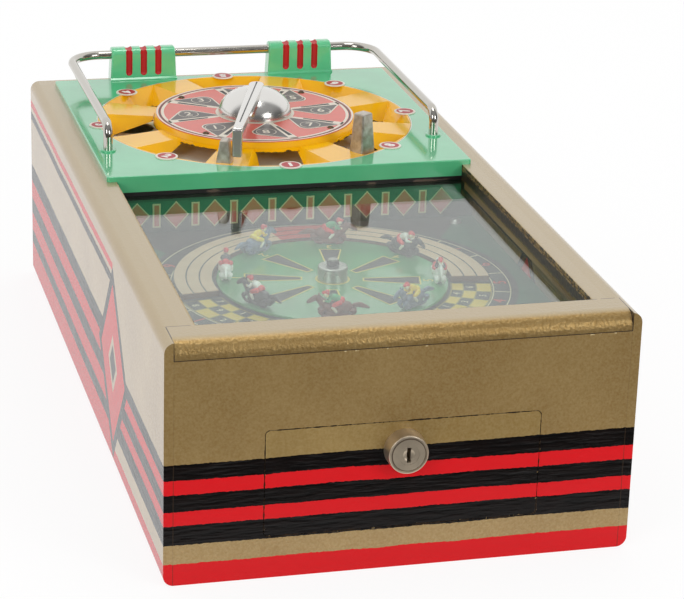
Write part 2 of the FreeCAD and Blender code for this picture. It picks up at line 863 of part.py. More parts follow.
def dial_screws():
    """Small dome-headed screws that hold the dial."""
    screws = []
    for x, y in dial_screw_places():
        head_top, half = dial_top + dial_screw_head_height, dial_screw_slot / 2
        shank = rod(dial_screw_radius, flange_top, dial_top, x, y)
        head = Part.makeSphere(dial_screw_ball, Vector(x, y, head_top - dial_screw_ball))
        head = head.common(rod(dial_screw_head_radius, dial_top, head_top, x, y))
        slot = box(x - 3, x + 3, y - half, y + half, head_top - dial_screw_slot + 0.1, head_top + 1)
        screws.append(shank.fuse(head).cut(slot).removeSplitter())
    return screws


def shaft_bushing():
    """Flanged bushing pushed up through the hub and the dial."""
    flange_bottom = flange_top - shaft_flange_height
    tube = rod(shaft_bushing_radius, flange_bottom, dial_top, 0, head_y)
    tube = tube.fuse(rod(shaft_flange_radius, flange_bottom, flange_top, 0, head_y))
    return tube.cut(rod(shaft_radius + running_gap, 0, dial_top, 0, head_y))


def number_badges():
    """Raised round badges on the rim, one for each pocket."""
    badges = []
    for k in range(pocket_count):
        x, y = from_front(badge_circle, 360 * k / pocket_count, head_y)
        badge = rod(badge_radius, plate_top, plate_top + badge_height, x, y)
        top = [e for e in badge.Edges if e.Closed and e.BoundBox.ZMin > plate_top + 0.1]
        badges.append(badge.makeFillet(badge_edge_radius, top))
    return badges


def top_plate():
    """Cast plate over the back half, with a skirt inside the cabinet."""
    half = plate_width / 2
    plate = box(-half, half, plate_front_y, plate_back_y, cabinet_height, plate_top)
    plate = plate.makeFillet(plate_corner, edges_along(plate, Vector(0, 0, 1), lambda p: True))
    rim = [e for e in plate.Edges if e.BoundBox.ZMin > plate_top - 0.01]
    plate = plate.makeFillet(plate_edge_radius, rim)
    x = strip_x - skirt_gap
    wall = box(-x, x, plate_front_y, plate_back_y - skirt_gap, cabinet_height - skirt_drop,
               cabinet_height)
    inside = box(-x + skirt_wall, x - skirt_wall, plate_front_y + skirt_wall,
                 plate_back_y - skirt_gap - skirt_wall, 0, cabinet_height)
    back = box(-x, x, plate_front_y + 2 * skirt_wall, plate_back_y,
               0, cabinet_height - skirt_back_cut)
    plate = plate.fuse(wall.cut(inside).cut(back)).removeSplitter()
    plate = plate.cut(rod(ring_radius + ring_gap, 0, 2 * plate_top, 0, head_y))
    for side in (-1, 1):
        x = side * rail_half_width
        boss = rod(leg_boss_radius, plate_top - plate_thickness / 2, plate_top + leg_boss_height,
                   x, leg_y)
        rim = [e for e in boss.Edges if e.Closed and e.BoundBox.ZMin > plate_top]
        plate = plate.fuse(boss.makeFillet(leg_boss_edge, rim))
        plate = plate.cut(rod(rod_radius + 0.05, 0, 2 * plate_top, x, leg_y))
        plate = plate.cut(rod(nut_relief, 0, cabinet_height, x, leg_y))
    return plate


def stop_peg(angle, width, top, height):
    """Tapered cast peg that stops the handle, with its foot let into the ring."""
    def outline(w, length, z):
        a, b = w / 2, length / 2
        points = [(-a, -b), (a, -b), (a, b), (-a, b), (-a, -b)]
        return Part.makePolygon([Vector(x, y, z) for x, y in points])

    z1 = plate_top + height
    foot = outline(width, peg_length, plate_top - peg_socket)
    peg = Part.makeLoft([foot, outline(top, peg_top_length, z1)], True, True)
    peg = peg.makeFillet(peg_edge_radius, [e for e in peg.Edges if e.BoundBox.ZMax > z1 - 0.01])
    x, y = from_front(peg_circle, angle, head_y)
    peg.rotate(Vector(0, 0, 0), Vector(0, 0, 1), -angle)
    peg.translate(Vector(x, y, 0))
    return peg


def handle_knob():
    """Domed knob with its lever bar and turned-down finger tab, in one casting."""
    rise = dome_height - dome_rim_height
    base_z = knob_bottom + dome_rim_height
    ellipse = Part.Ellipse(Vector(0, 0, 0), dome_radius, rise)
    ellipse.rotate(FreeCAD.Placement(Vector(0, 0, 0), FreeCAD.Rotation(Vector(1, 0, 0), 90)))
    arc = Part.Arc(ellipse, 0, math.pi / 2).toShape()
    arc.translate(Vector(0, 0, base_z))
    start, end = Vector(dome_radius, 0, base_z), Vector(0, 0, base_z + rise)
    lines = [Part.makeLine(end, Vector(0, 0, knob_bottom)),
             Part.makeLine(Vector(0, 0, knob_bottom), Vector(dome_radius, 0, knob_bottom)),
             Part.makeLine(Vector(dome_radius, 0, knob_bottom), start)]
    dome = Part.Face(Part.Wire(Part.__sortEdges__([arc] + lines)))
    dome = dome.revolve(Vector(0, 0, 0), Vector(0, 0, 1), 360)
    half, rear_half = bar_width / 2, bar_rear_width / 2
    bar_end = bar_tail - rear_half
    side_view = [Vector(0, bar_tail, bar_top), Vector(0, -tab_reach, bar_top),
                 Vector(0, -tab_reach, tab_bottom), Vector(0, -tab_reach + tab_depth, tab_bottom),
                 Vector(0, -tab_reach + tab_depth, bar_top - bar_height),
                 Vector(0, bar_tail, bar_top - bar_height)]
    bar = Part.Face(Part.makePolygon(side_view + side_view[:1]))
    bar.translate(Vector(-rear_half, 0, 0))
    bar = bar.extrude(Vector(bar_rear_width, 0, 0))
    bend = edges_along(bar, Vector(1, 0, 0),
                       lambda p: p.y < -tab_reach + 0.1 and p.z > bar_top - 0.1)
    bar = bar.makeFillet(bar_bend_radius, bend)
    waist = -tab_reach + bar_straight
    plan = prism([(half, -tab_reach), (half, waist), (rear_half, bar_end),
                  (-rear_half, bar_end), (-half, waist), (-half, -tab_reach)],
                 tab_bottom, bar_top)
    bar = bar.common(plan.fuse(rod(rear_half, tab_bottom, bar_top, 0, bar_end)))
    bar = bar.removeSplitter()
    foot = edges_along(bar, Vector(1, 0, 0), lambda p: p.z < tab_bottom + 0.1)
    bar = bar.makeFillet(tab_foot_radius, foot)
    sides = [e for e in bar.Edges if e.BoundBox.ZMin > bar_top - 0.01 and e.BoundBox.YLength > 3]
    bar = bar.makeFillet(bar_edge_radius, sides)
    half_groove = bar_groove_width / 2
    groove = box(-half_groove, half_groove, -tab_reach + bar_groove_front,
                 bar_tail - bar_groove_rear,
                 bar_top - bar_groove_depth, bar_top + 1)
    knob = dome.fuse(bar).removeSplitter()
    knob = knob.cut(groove)
    knob = knob.cut(rod(shaft_radius, knob_bottom - 1, shaft_top))
    knob.translate(Vector(0, head_y, 0))
    return spun(knob, handle_angle, head_y)


def handle_shaft():
    """Shaft from the knob down to the bridge."""
    return rod(shaft_radius, mech_bottom - shaft_overrun, shaft_top, 0, head_y)


def coin_shutter():
    """Steel disc under the pockets whose holes let the coins fall mid-stroke."""
    disc = rod(shutter_radius, shutter_bottom, shutter_top, 0, head_y)
    for k in range(pocket_count):
        x, y = from_front(coin_circle, 360 * (k + 0.5) / pocket_count, head_y)
        disc = disc.cut(rod(coin_hole_radius, 0, plate_top, x, y))
    collar = rod(2 * shaft_radius, shutter_top, collar_top, 0, head_y)
    return disc.fuse(collar).cut(rod(shaft_radius, 0, plate_top, 0, head_y)).removeSplitter()


def return_spring():
    """Torsion spring round the handle shaft, between the shutter's collar and the hub."""
    wire, radius = spring_wire_radius, spring_radius
    foot = collar_top + stop_gap + wire
    rise = flange_top - stop_gap - wire - foot
    helix = Part.makeHelix(rise / spring_turns, rise, radius)
    circle = Part.Wire(Part.makeCircle(wire, Vector(radius, 0, 0), Vector(0, 1, 0)))
    coil = Part.Wire(helix.Edges).makePipeShell([circle], True, True)
    if coil.Volume < 0:
        coil.reverse()
    coil.translate(Vector(0, head_y, foot))
    return coil


def rail_path():
    """Centre line of the guard rail: two legs, two arms and the back bar."""
    x, bend, corner = rail_half_width, rail_leg_bend, rail_corner_bend
    foot = cabinet_height - rail_leg_below
    s = math.sqrt(0.5)

    def leg(side):
        low = Vector(side * x, leg_y, foot)
        high = Vector(side * x, leg_y, rod_z - bend)
        mid = Vector(side * x, leg_y + bend - bend * s, rod_z - bend + bend * s)
        arm = Vector(side * x, leg_y + bend, rod_z)
        far = Vector(side * x, back_bar_y - corner, rod_z)
        turn = Vector(side * (x - corner + corner * s), back_bar_y - corner + corner * s, rod_z)
        bar = Vector(side * (x - corner), back_bar_y, rod_z)
        return [Part.makeLine(low, high), Part.Arc(high, mid, arm).toShape(),
                Part.makeLine(arm, far), Part.Arc(far, turn, bar).toShape()]

    across = Part.makeLine(Vector(-x + corner, back_bar_y, rod_z),
                           Vector(x - corner, back_bar_y, rod_z))
    return Part.Wire(Part.__sortEdges__(leg(-1) + [across] + leg(1)))


def guard_rail():
    """Bent rod round the coin head."""
    path = rail_path()
    start = Vector(-rail_half_width, leg_y, cabinet_height - rail_leg_below)
    circle = Part.Wire(Part.makeCircle(rod_radius, start, Vector(0, 0, 1)))
    return path.makePipeShell([circle], True, False)


def rail_nuts():
    """Nuts on the rail's legs, below the top plate."""
    nuts = []
    for side in (-1, 1):
        nut = hexagon(rail_nut_width, cabinet_height - rail_nut_height, cabinet_height, 0, 0)
        nut = nut.cut(rod(rod_radius, 0, cabinet_height))
        nut.rotate(Vector(0, 0, 0), Vector(0, 0, 1), 30)
        nut.translate(Vector(side * rail_half_width, leg_y, 0))
        nuts.append(nut)
    return nuts


def bracket(x):
    """Fluted cast bracket that holds the back bar."""
    y0, y1 = bracket_front_y, bracket_front_y + bracket_depth
    half, top_half = bracket_foot_width / 2, bracket_top_width / 2
    top = plate_top + bracket_height
    corners = [(-half, cabinet_height), (half, cabinet_height), (top_half, top), (-top_half, top)]
    outline = [Vector(cx, y0, cz) for cx, cz in corners]
    block = Part.Face(Part.makePolygon(outline + outline[:1])).extrude(Vector(0, y1 - y0, 0))
    across = edges_along(block, Vector(1, 0, 0), lambda p: p.z > top - 0.1)
    block = block.makeFillet(bracket_edge_radius, across)
    sides = [e for e in block.Edges
             if abs(e.CenterOfMass.x) > top_half - 1 and e.BoundBox.XLength < half]
    block = block.makeFillet(bracket_side_radius, [e for e in sides if e.BoundBox.ZMax > plate_top])
    block = block.cut(box(-half, half, y0 - 1, plate_back_y + 0.2, 0, plate_top))
    foot = box(-half, half, y0 - bracket_foot_depth, y0 + 1, plate_top,
               plate_top + bracket_foot_height)
    front_edge = edges_along(foot, Vector(1, 0, 0),
                             lambda p: p.y < y0 - 0.1 and p.z > plate_top + 0.1)
    foot = foot.makeChamfer(bracket_foot_chamfer, front_edge)
    block = block.fuse(foot).removeSplitter()
    for k in range(flute_count):
        cx = (k - (flute_count - 1) / 2) * flute_pitch
        low = plate_top + flute_foot + flute_radius
        deep = flute_radius * flute_share
        flute = rod(flute_radius, low, top + 5, cx, y0 - flute_radius + deep)
        ball = Part.makeSphere(flute_radius, Vector(cx, y0 - flute_radius + deep, low))
        notch = rod_y(flute_radius, y0 - 5, y1 + 5, cx, top + flute_radius - deep)
        block = block.cut(flute).cut(ball).cut(notch)
    block = block.cut(Part.makeCylinder(rod_radius, 4 * half,
                                        Vector(-2 * half, back_bar_y, rod_z), Vector(1, 0, 0)))
    block.translate(Vector(x, 0, 0))
    return block


def coin_hopper():
    """Sheet-metal funnel from the coin head down to the cash drawer."""

    def shell(grow, z0, z1):
        share = (hopper_top - z0) / (hopper_top - hopper_outlet)
        outlet_y = drawer_rear - hopper_outlet_margin
        low = [hopper_top_half - share * (hopper_top_half - hopper_outlet_half) + grow,
               hopper_front - grow, hopper_back - share * (hopper_back - outlet_y) + grow]
        high = [hopper_top_half + grow, hopper_front - grow, hopper_back + grow]
        wires = []
        for (x, y0, y1), z in ((low, z0), (high, z1)):
            points = [Vector(-x, y0, z), Vector(x, y0, z), Vector(x, y1, z), Vector(-x, y1, z)]
            wires.append(Part.makePolygon(points + points[:1]))
        return Part.makeLoft(wires, True, True)

    outer = shell(hopper_sheet, hopper_outlet, hopper_top)
    inner = shell(0.0, hopper_outlet, hopper_top)
    hopper = outer.cut(inner)
    ear = box(hopper_top_half, inner_x, hopper_front, hopper_back,
              hopper_top - hopper_sheet, hopper_top)
    hopper = hopper.fuse([ear, mirrored(ear)])
    y0 = bridge_y - bridge_width / 2 - hopper_bridge_gap
    hopper = hopper.cut(box(-inner_x, inner_x, y0, y0 + bridge_width + 2 * hopper_bridge_gap,
                            mech_bottom - hopper_bridge_gap,
                            hopper_top - hopper_sheet - hopper_bridge_cut))
    hopper = hopper.cut(box(rack_inner_x - hopper_rack_gap, rack_outer_x + hopper_rack_gap,
                            hopper_front - hopper_rack_cut, hopper_front + hopper_rack_cut,
                            mech_top - hopper_bridge_gap, gear_top + hopper_rack_headroom))
    return hopper.removeSplitter()


def drawer_front():
    """Cash drawer front, flush with the front board."""
    panel = rounded_door(door_half_width - door_gap, door_bottom + door_gap, door_top - door_gap,
                         front_y, board_back_y, door_corner - door_gap)
    return panel.cut(rod_y(lock_barrel_radius, front_y - 1, board_back_y + 1, 0, lock_height))


def drawer_tray():
    """Open tray behind the drawer front."""
    outer = box(-tray_half_width, tray_half_width, board_back_y, drawer_rear,
                tray_bottom, tray_top)
    x = tray_half_width - tray_wall
    return outer.cut(box(-x, x, board_back_y + tray_wall, drawer_rear - tray_wall,
                         tray_bottom + tray_wall, tray_top + 1))


def drawer_runner():
    """Hardwood runner with a guiding lip on the right of the tray."""
    x0, x1 = tray_half_width - runner_under_tray, tray_half_width + runner_beside_tray
    y1 = drawer_rear + runner_overrun
    lip_x = tray_half_width + stop_gap
    runner = box(x0, x1, board_back_y, y1, base_thickness, tray_bottom - stop_gap)
    lip = box(lip_x, x1, board_back_y, y1, tray_bottom - stop_gap,
              tray_bottom + runner_lip)
    return runner.fuse(lip).removeSplitter()


def lock_body():
    """Lock barrel with its tapered head and a grooved face."""
    y0 = front_y - lock_protrusion
    body = Part.makeCone(lock_base_radius, lock_face_radius, lock_protrusion,
                         Vector(0, front_y, lock_height), Vector(0, -1, 0))
    front = [e for e in body.Edges if e.Closed and e.BoundBox.YMax < y0 + 0.1]
    body = body.makeFillet(lock_face_edge, front)
    groove = rod_y(lock_groove_radius + lock_groove_width, y0 - 1, y0 + lock_groove_depth,
                   0, lock_height)
    body = body.cut(groove.cut(rod_y(lock_groove_radius, y0 - 1, front_y, 0, lock_height)))
    y1 = board_back_y + lock_nut_height + lock_thread_overrun
    body = body.fuse(rod_y(lock_barrel_radius, front_y, y1, 0, lock_height))
    return body.cut(rod_y(lock_plug_radius + running_gap, y0 - 1, board_back_y + 10,
                          0, lock_height)).removeSplitter()


def lock_plug():
    """Turning plug with an upright key slot in a shallow dish."""
    y0 = front_y - lock_protrusion
    y1 = board_back_y + lock_nut_height + cam_gap + cam_thickness
    plug = rod_y(lock_plug_radius, y0 + lock_plug_recess, y1, 0, lock_height)
    half_w, half_h = key_slot_width / 2, key_slot_height / 2
    slot = box(-half_w, half_w, y0 - 1, y0 + key_slot_depth,
               lock_height - half_h, lock_height + half_h)
    ball = (key_dish_radius ** 2 + key_dish_depth ** 2) / (2 * key_dish_depth)
    dish_y = y0 + lock_plug_recess + key_dish_depth - ball
    return plug.cut(slot).cut(Part.makeSphere(ball, Vector(0, dish_y, lock_height)))


def lock_nut():
    """Hexagonal nut behind the drawer front."""
    nut = hexagon(lock_nut_width, 0, lock_nut_height, 0, 0)
    nut = nut.cut(rod(lock_barrel_radius, 0, lock_nut_height))
    nut.rotate(Vector(0, 0, 0), Vector(1, 0, 0), -90)
    nut.translate(Vector(0, board_back_y, lock_height))
    return nut


def lock_cam():
    """Cam that swings up behind the front board; stored sideways, unlocked."""
    y0 = board_back_y + lock_nut_height + cam_gap
    half = cam_width / 2
    cam = box(-cam_length, 0, y0, y0 + cam_thickness, lock_height - half, lock_height + half)
    cam = cam.fuse(rod_y(lock_plug_radius + cam_ring_wall, y0, y0 + cam_thickness,
                         0, lock_height))
    return cam.cut(rod_y(lock_plug_radius, y0, y0 + cam_thickness, 0, lock_height)).removeSplitter()


def limb(a, b, r0, r1):
    """Tapered limb with round ends, turned about the line from a to b."""
    run = b.sub(a)
    lean = math.asin((r0 - r1) / run.Length)

    def on_ball(radius, height, angle):
        return Vector(radius * math.cos(angle), 0, height + radius * math.sin(angle))

    low, high = on_ball(r0, 0, lean), on_ball(r1, run.Length, lean)
    foot, head = Vector(0, 0, -r0), Vector(0, 0, run.Length + r1)
    outline = [Part.Arc(foot, on_ball(r0, 0, lean / 2 - math.pi / 4), low).toShape(),
               Part.makeLine(low, high),
               Part.Arc(high, on_ball(r1, run.Length, lean / 2 + math.pi / 4), head).toShape(),
               Part.makeLine(head, foot)]
    solid = Part.Face(Part.Wire(outline)).revolve(Vector(0, 0, 0), Vector(0, 0, 1), 360)
    solid.Placement = FreeCAD.Placement(a, FreeCAD.Rotation(Vector(0, 0, 1), run))
    return solid


def horse(angle):
    """Cast racehorse with tucked legs and its rider, heading clockwise round the disc."""
    h, r = horse_body_height, horse_body_radius
    half = horse_body_length / 2
    body = limb(Vector(-half, 0, h), Vector(half, 0, h), r, r * 0.94)
    pieces = [limb(Vector(half - 1, 0, h + 1.5), Vector(half + 5.8, 0, h + 6.0), 2.8, 1.8),
              limb(Vector(half + 5.8, 0, h + 6.2), Vector(half + 11.8, 0, h + 3.8), 1.9, 1.1),
              limb(Vector(half + 5.2, 0, h + 7.6), Vector(half + 4.8, 0, h + 9.0), 0.7, 0.4),
              limb(Vector(-half - 2, 0, h + 1.6), Vector(-half - 13.2, 0, h + 0.2), 1.9, 0.9)]
    for side in (-1, 1):
        y = side * 2.1
        pieces.append(limb(Vector(half + 1, y, h - 1.6), Vector(half + 1.6, y, 2.4), 1.9, 1.3))
        pieces.append(limb(Vector(-half - 1, y, h - 1.6), Vector(-half - 1.6, y, 2.4), 2.1, 1.4))
        pieces.append(limb(Vector(half + 1.6, y, 2.4), Vector(-half - 1.6, y, 1.6), 1.4, 1.5))
        pieces.append(limb(Vector(-3.0, side * 2.2, h + 4), Vector(1.5, side * 3.9, h - 0.6),
                           1.3, 1.0))
        pieces.append(limb(Vector(3.2, side * 1.6, h + 7.4), Vector(6.6, side * 1.3, h + 4.6),
                           0.9, 0.8))
    pieces.append(limb(Vector(-3.6, 0, h + 5.2), Vector(3.0, 0, h + 8.0), 2.4, 2.1))
    pieces.append(Part.makeSphere(1.9, Vector(5.2, 0, h + 9.4)))
    pieces.append(limb(Vector(-half, 0, 0), Vector(half, 0, 0), 3.6, 3.5).common(
        box(-2 * half, 2 * half, -5, 5, 0, 1.6)))
    figure = body.fuse(pieces).removeSplitter()
    figure.scale(horse_length / horse_model_length)
    figure.rotate(Vector(0, 0, 0), Vector(0, 0, 1), 180)
    figure.translate(Vector(0, turntable_y - horse_circle_radius, disc_top))
    return spun(figure, angle, turntable_y)


def build_cabinet():
    side = side_board()
    save("right_side_board", side)
    save("left_side_board", mirrored(side))
    save("base_board", box(-inner_x, inner_x, board_back_y, back_y - end_thickness,
                           0, base_thickness))
    save("front_board", front_board())
    save("front_rail", front_rail())
    save("back_board", back_board())
    strip = top_strip()
    save("top_strips", strip, mirrored(strip))
    save("glass_ledges", *glass_ledges())
    glass_x = inner_x - glass_gap
    save("playfield_glass", box(-glass_x, glass_x, rail_back_y - glass_into_rail, title_back_y,
                                glass_bottom, glass_top))
    seal_x = strip_x - skirt_gap
    save("glass_rear_seal", box(-seal_x, seal_x, plate_front_y, plate_front_y + seal_width,
                                glass_top, cabinet_height - skirt_drop))
    screws = [round_head_screw(x, y, playfield_top) for x, y in playfield_screw_places()]
    screws += [back_screw(x, z) for x, z in back_screw_places()]
    save("wood_screws", *screws)


def build_playfield():
    x = inner_x - glass_gap
    save("title_board", box(-x, x, title_y, title_back_y, playfield_top, glass_bottom))
    save("playfield_board", playfield_board())
    save("playfield_cleats", cleat(), mirrored(cleat()))
    save("track_ring", track_ring())
    save("turntable_disc", turntable_disc())
    save("hub_cap", hub_cap())
    save("cap_nut", cap_nut())
    save("spindle", spindle())
    save("spindle_bushing", spindle_bushing())
    for k in range(horse_count):
        save("horse_" + str(k + 1), horse(horse_start_angle + 360 * k / horse_count))


def build_mechanism():
    save("mechanism_plate", mechanism_plate())
    save("mechanism_standoffs", *mechanism_standoffs())
    save("ratchet_wheel", ratchet_wheel())
    save("kick_gear", kick_gear())
    save("kick_pawl", kick_pawl())
    save("drive_gear", drive_gear())
    save("drive_rack", drive_rack())
    save("rack_guides", rack_guide(turntable_y + front_guide_offset), rack_guide(bridge_y))
    save("rear_bridge", rear_bridge())
    save("coin_hopper", coin_hopper())


def build_coin_head():
    save("top_plate", top_plate())
    save("coin_ring", coin_ring())
    save("dial_plate", dial_plate())
    save("dial_screws", *dial_screws())
    save("number_badges", *number_badges())
    save("left_stop_peg", stop_peg(left_peg_angle, left_peg_width, left_peg_top,
                                   left_peg_height))
    save("right_stop_peg", stop_peg(-right_peg_angle, right_peg_width, right_peg_top,
                                    right_peg_height))
    save("shaft_bushing", shaft_bushing())
    save("handle_knob", handle_knob())
    save("handle_shaft", handle_shaft())
    save("coin_shutter", coin_shutter())
    save("return_spring", return_spring())
    save("guard_rail", guard_rail())
    save("rail_nuts", *rail_nuts())
    save("left_bracket", bracket(-bracket_offset))
    save("right_bracket", bracket(bracket_offset))


def build_drawer():
    save("drawer_front", drawer_front())
    save("drawer_tray", drawer_tray())
    runner = drawer_runner()
    save("drawer_runners", runner, mirrored(runner))
    save("lock_body", lock_body(), lock_nut())
    save("lock_plug", lock_plug())
    save("lock_cam", lock_cam())


os.makedirs("parts", exist_ok=True)
build_cabinet()
build_playfield()
build_mechanism()
build_coin_head()
build_drawer()
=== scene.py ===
import math

import bmesh
import bpy
import numpy as np
from mathutils import Matrix, Vector


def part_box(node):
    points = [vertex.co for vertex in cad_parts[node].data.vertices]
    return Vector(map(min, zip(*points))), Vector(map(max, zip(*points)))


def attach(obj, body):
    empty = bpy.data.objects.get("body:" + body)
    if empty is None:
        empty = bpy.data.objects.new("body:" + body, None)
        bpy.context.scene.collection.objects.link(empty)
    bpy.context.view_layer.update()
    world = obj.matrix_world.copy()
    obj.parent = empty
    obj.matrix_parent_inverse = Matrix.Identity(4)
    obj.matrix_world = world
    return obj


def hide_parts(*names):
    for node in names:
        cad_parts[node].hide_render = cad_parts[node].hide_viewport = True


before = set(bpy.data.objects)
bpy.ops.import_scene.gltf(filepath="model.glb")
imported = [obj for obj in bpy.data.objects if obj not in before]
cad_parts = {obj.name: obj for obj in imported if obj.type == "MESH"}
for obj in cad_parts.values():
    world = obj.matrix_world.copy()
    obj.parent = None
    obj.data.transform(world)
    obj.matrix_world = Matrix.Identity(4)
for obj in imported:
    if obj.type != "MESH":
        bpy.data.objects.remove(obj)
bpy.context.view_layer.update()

mm = 0.001

# Cabinet boards: the pine box, its front rail, strips, ledges, cleats and back.
# Sawn and rebated boards, brushed with gold bronze paint outside, bare inside,
# with poster-paint stripes pulled round the front and sides by hand.
stripe_red, stripe_black = (214, 20, 28), (5, 4, 4)
gold_light, gold_dark = (166, 136, 83), (150, 119, 67)
door_gold_light, door_gold_dark = (176, 146, 88), (152, 122, 66)
# The dark brown marks the joints, and is also the painted shade in the gap round the drawer front.
gold_fleck, worn_gold, joint_and_shade_brown = (226, 206, 154), (196, 176, 132), (58, 44, 30)
front_stripe_tops = [(13.2, "red"), (24.8, "gold"), (37.2, "black"), (45.9, "red"),
                     (56.6, "black"), (65.5, "red"), (75.6, "black"), (150.0, "gold")]
top_stripe_slope, top_stripe_middle = 0.008, 70 * mm
side_stripe_tops = [(24.5, "red"), (34.0, "black"), (47.5, "red"), (59.5, "black"),
                    (73.0, "red"), (86.0, "black"), (120.5, "gold"), (126.5, "black"),
                    (129.5, "gold"), (135.0, "red"), (150.0, "gold")]
lozenge_bands = [(0.2, "black"), (0.3, "gold"), (0.82, "red"), (1.0, "black")]
lozenge_y, lozenge_z = -95 * mm, 69 * mm
lozenge_half_y, lozenge_half_z = 52 * mm, 64 * mm
stripe_wobble, stripe_raggedness, stripe_roughness = 0.7 * mm, 0.5 * mm, 0.24
ragged_scale, chip_low, chip_high = 420.0, -2.6 * mm, 0.7 * mm
streak_brown, streak_show, fold_depth = (90, 60, 52), 0.05, 3.0
gold_roughness, gold_share_of_metal, gold_coat = 0.42, 0.5, 0.85
fine_grain, coarse_grain, grain_show = (760.0, 0.22 * mm), (620.0, 0.26 * mm), 0.18
brush_streaks = (60.0, 60.0, 430.0)
nose_share_of_metal, side_coat = 0.7, 0.15
# Paler gold, laid on surfaces that face up as a painted highlight.
lit_top_gold = (180, 160, 122)
seam_x, seam_z, seam_half = 134.4 * mm, 138.0 * mm, 0.28 * mm
seam_show, painted_seam_show, seam_patches = 0.14, 0.5, 0.62
rubbed_z, rubbed_half, rubbed_patches = 137.3 * mm, 0.35 * mm, 0.9
front_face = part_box("front_board")[0].y + 1 * mm
rail_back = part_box("front_rail")[1].y
door_half, door_middle, door_half_height = 81.8 * mm, 59.2 * mm, 33.0 * mm
door_corner, door_gap_shade = 3.0 * mm, 0.55 * mm
strip_face, glass_top = 117.6 * mm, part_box("playfield_glass")[1].z
# Black and olive painted shade for the inner faces of the glass channel.
channel_shade_black, shaded_bead_olive = (20, 18, 14), (96, 84, 24)
channel_skin, channel_top, channel_line = 0.9 * mm, 6.4 * mm, 1.3 * mm
pine_dark, pine_light = (150, 108, 64), (205, 170, 120)


def srgb(red, green, blue):
    """Colour as a scene-linear RGBA, from the 0 to 255 values seen on a screen."""
    c = np.array([red, green, blue]) / 255
    linear = np.where(c <= 0.04045, c / 12.92, ((c + 0.055) / 1.055) ** 2.4)
    return (*(float(x) for x in linear), 1.0)


class Pattern:
    """A number, colour or place that varies over a surface; sums and products make new ones."""

    def __init__(self, socket):
        self.socket, self.tree = socket, socket.id_data

    def __add__(self, other):
        return calc("ADD", self, other)

    def __sub__(self, other):
        return calc("SUBTRACT", self, other)

    def __rsub__(self, other):
        return calc("SUBTRACT", other, self)

    def __mul__(self, other):
        return calc("MULTIPLY", self, other)

    def __truediv__(self, other):
        return calc("DIVIDE", self, other)

    def __gt__(self, other):
        return calc("GREATER_THAN", self, other)

    def __lt__(self, other):
        return calc("LESS_THAN", self, other)

    def __abs__(self):
        return calc("ABSOLUTE", self)

    __radd__, __rmul__ = __add__, __mul__


def feed(socket, value):
    """Gives a socket a pattern, a number or a colour in the 0 to 255 values of a screen."""
    if isinstance(value, Pattern):
        socket.id_data.links.new(value.socket, socket)
    else:
        socket.default_value = srgb(*value) if socket.type == "RGBA" else value


def add_node(tree, kind, inputs=(), **settings):
    """A new node with its settings, and its sockets fed."""
    node = tree.nodes.new("ShaderNode" + kind)
    for key, value in settings.items():
        setattr(node, key, value)
    for key, value in dict(inputs).items():
        feed(node.inputs[key], value)
    return node


def calc(operation, *values):
    """One step of arithmetic between numbers and patterns."""
    tree = next(value.tree for value in values if isinstance(value, Pattern))
    return Pattern(add_node(tree, "Math", enumerate(values), operation=operation).outputs[0])


def either(a, b):
    """The larger of two numbers, or where one thing or the other is."""
    return calc("MAXIMUM", a, b)


def close_to(value, target, within):
    """1 where a value lies near its target, else 0."""
    return calc("COMPARE", value, target, within)


def slant(a, b):
    """Length of the straight way over two offsets at right angles."""
    return calc("SQRT", a * a + b * b)


def between(share, a, b):
    """Number a going over to number b by a share."""
    return share * (b - a) + a


def mixed(share, a, b):
    """Colour a going over to colour b by a share."""
    node = add_node(share.tree, "Mix", {0: share, 6: a, 7: b}, data_type="RGBA")
    return Pattern(node.outputs[2])


def coordinates(tree, kind):
    """Places or directions on the surface."""
    return Pattern(add_node(tree, "TexCoord").outputs[kind])


def axes(vector):
    """The X, Y and Z of a place, or the red, green and blue of a colour."""
    return [Pattern(s) for s in add_node(vector.tree, "SeparateXYZ", {0: vector}).outputs]


def spread(value, start, end, low, high, way="LINEAR"):
    """A value's range from start to end, taken to the range from low to high."""
    levels = {"Value": value, "From Min": start, "From Max": end, "To Min": low, "To Max": high}
    return Pattern(add_node(value.tree, "MapRange", levels, interpolation_type=way).outputs[0])


def step_down(value, start, end):
    """Smooth fall from 1 at the start to 0 at the end."""
    return spread(value, start, end, 1.0, 0.0, "SMOOTHSTEP")


def cloud(where, scale, detail=2.0, low=0.0, high=1.0):
    """Soft noise between two levels."""
    noise = add_node(where.tree, "TexNoise", {"Vector": where, "Scale": scale, "Detail": detail})
    return spread(Pattern(noise.outputs[0]), 0.3, 0.7, low, high)


def banded(value, bands, unit=1.0):
    """Colour and cover of sharp bands of paint, which end at tops in a unit; gold is no cover."""
    colours = {"red": stripe_red, "black": stripe_black, "gold": gold_light}
    full = bands[-1][0]
    ramp = add_node(value.tree, "ValToRGB", {0: value / (full * unit)})
    ramp.color_ramp.interpolation = "CONSTANT"
    stops = ramp.color_ramp.elements
    stops.remove(stops[1])
    for below, (_, key) in zip([0.0] + [top / full for top, _ in bands], bands):
        stop = stops.new(below) if below else stops[0]
        stop.color = (*srgb(*colours[key])[:3], 0.0 if key == "gold" else 1.0)
    return [Pattern(s) for s in ramp.outputs]


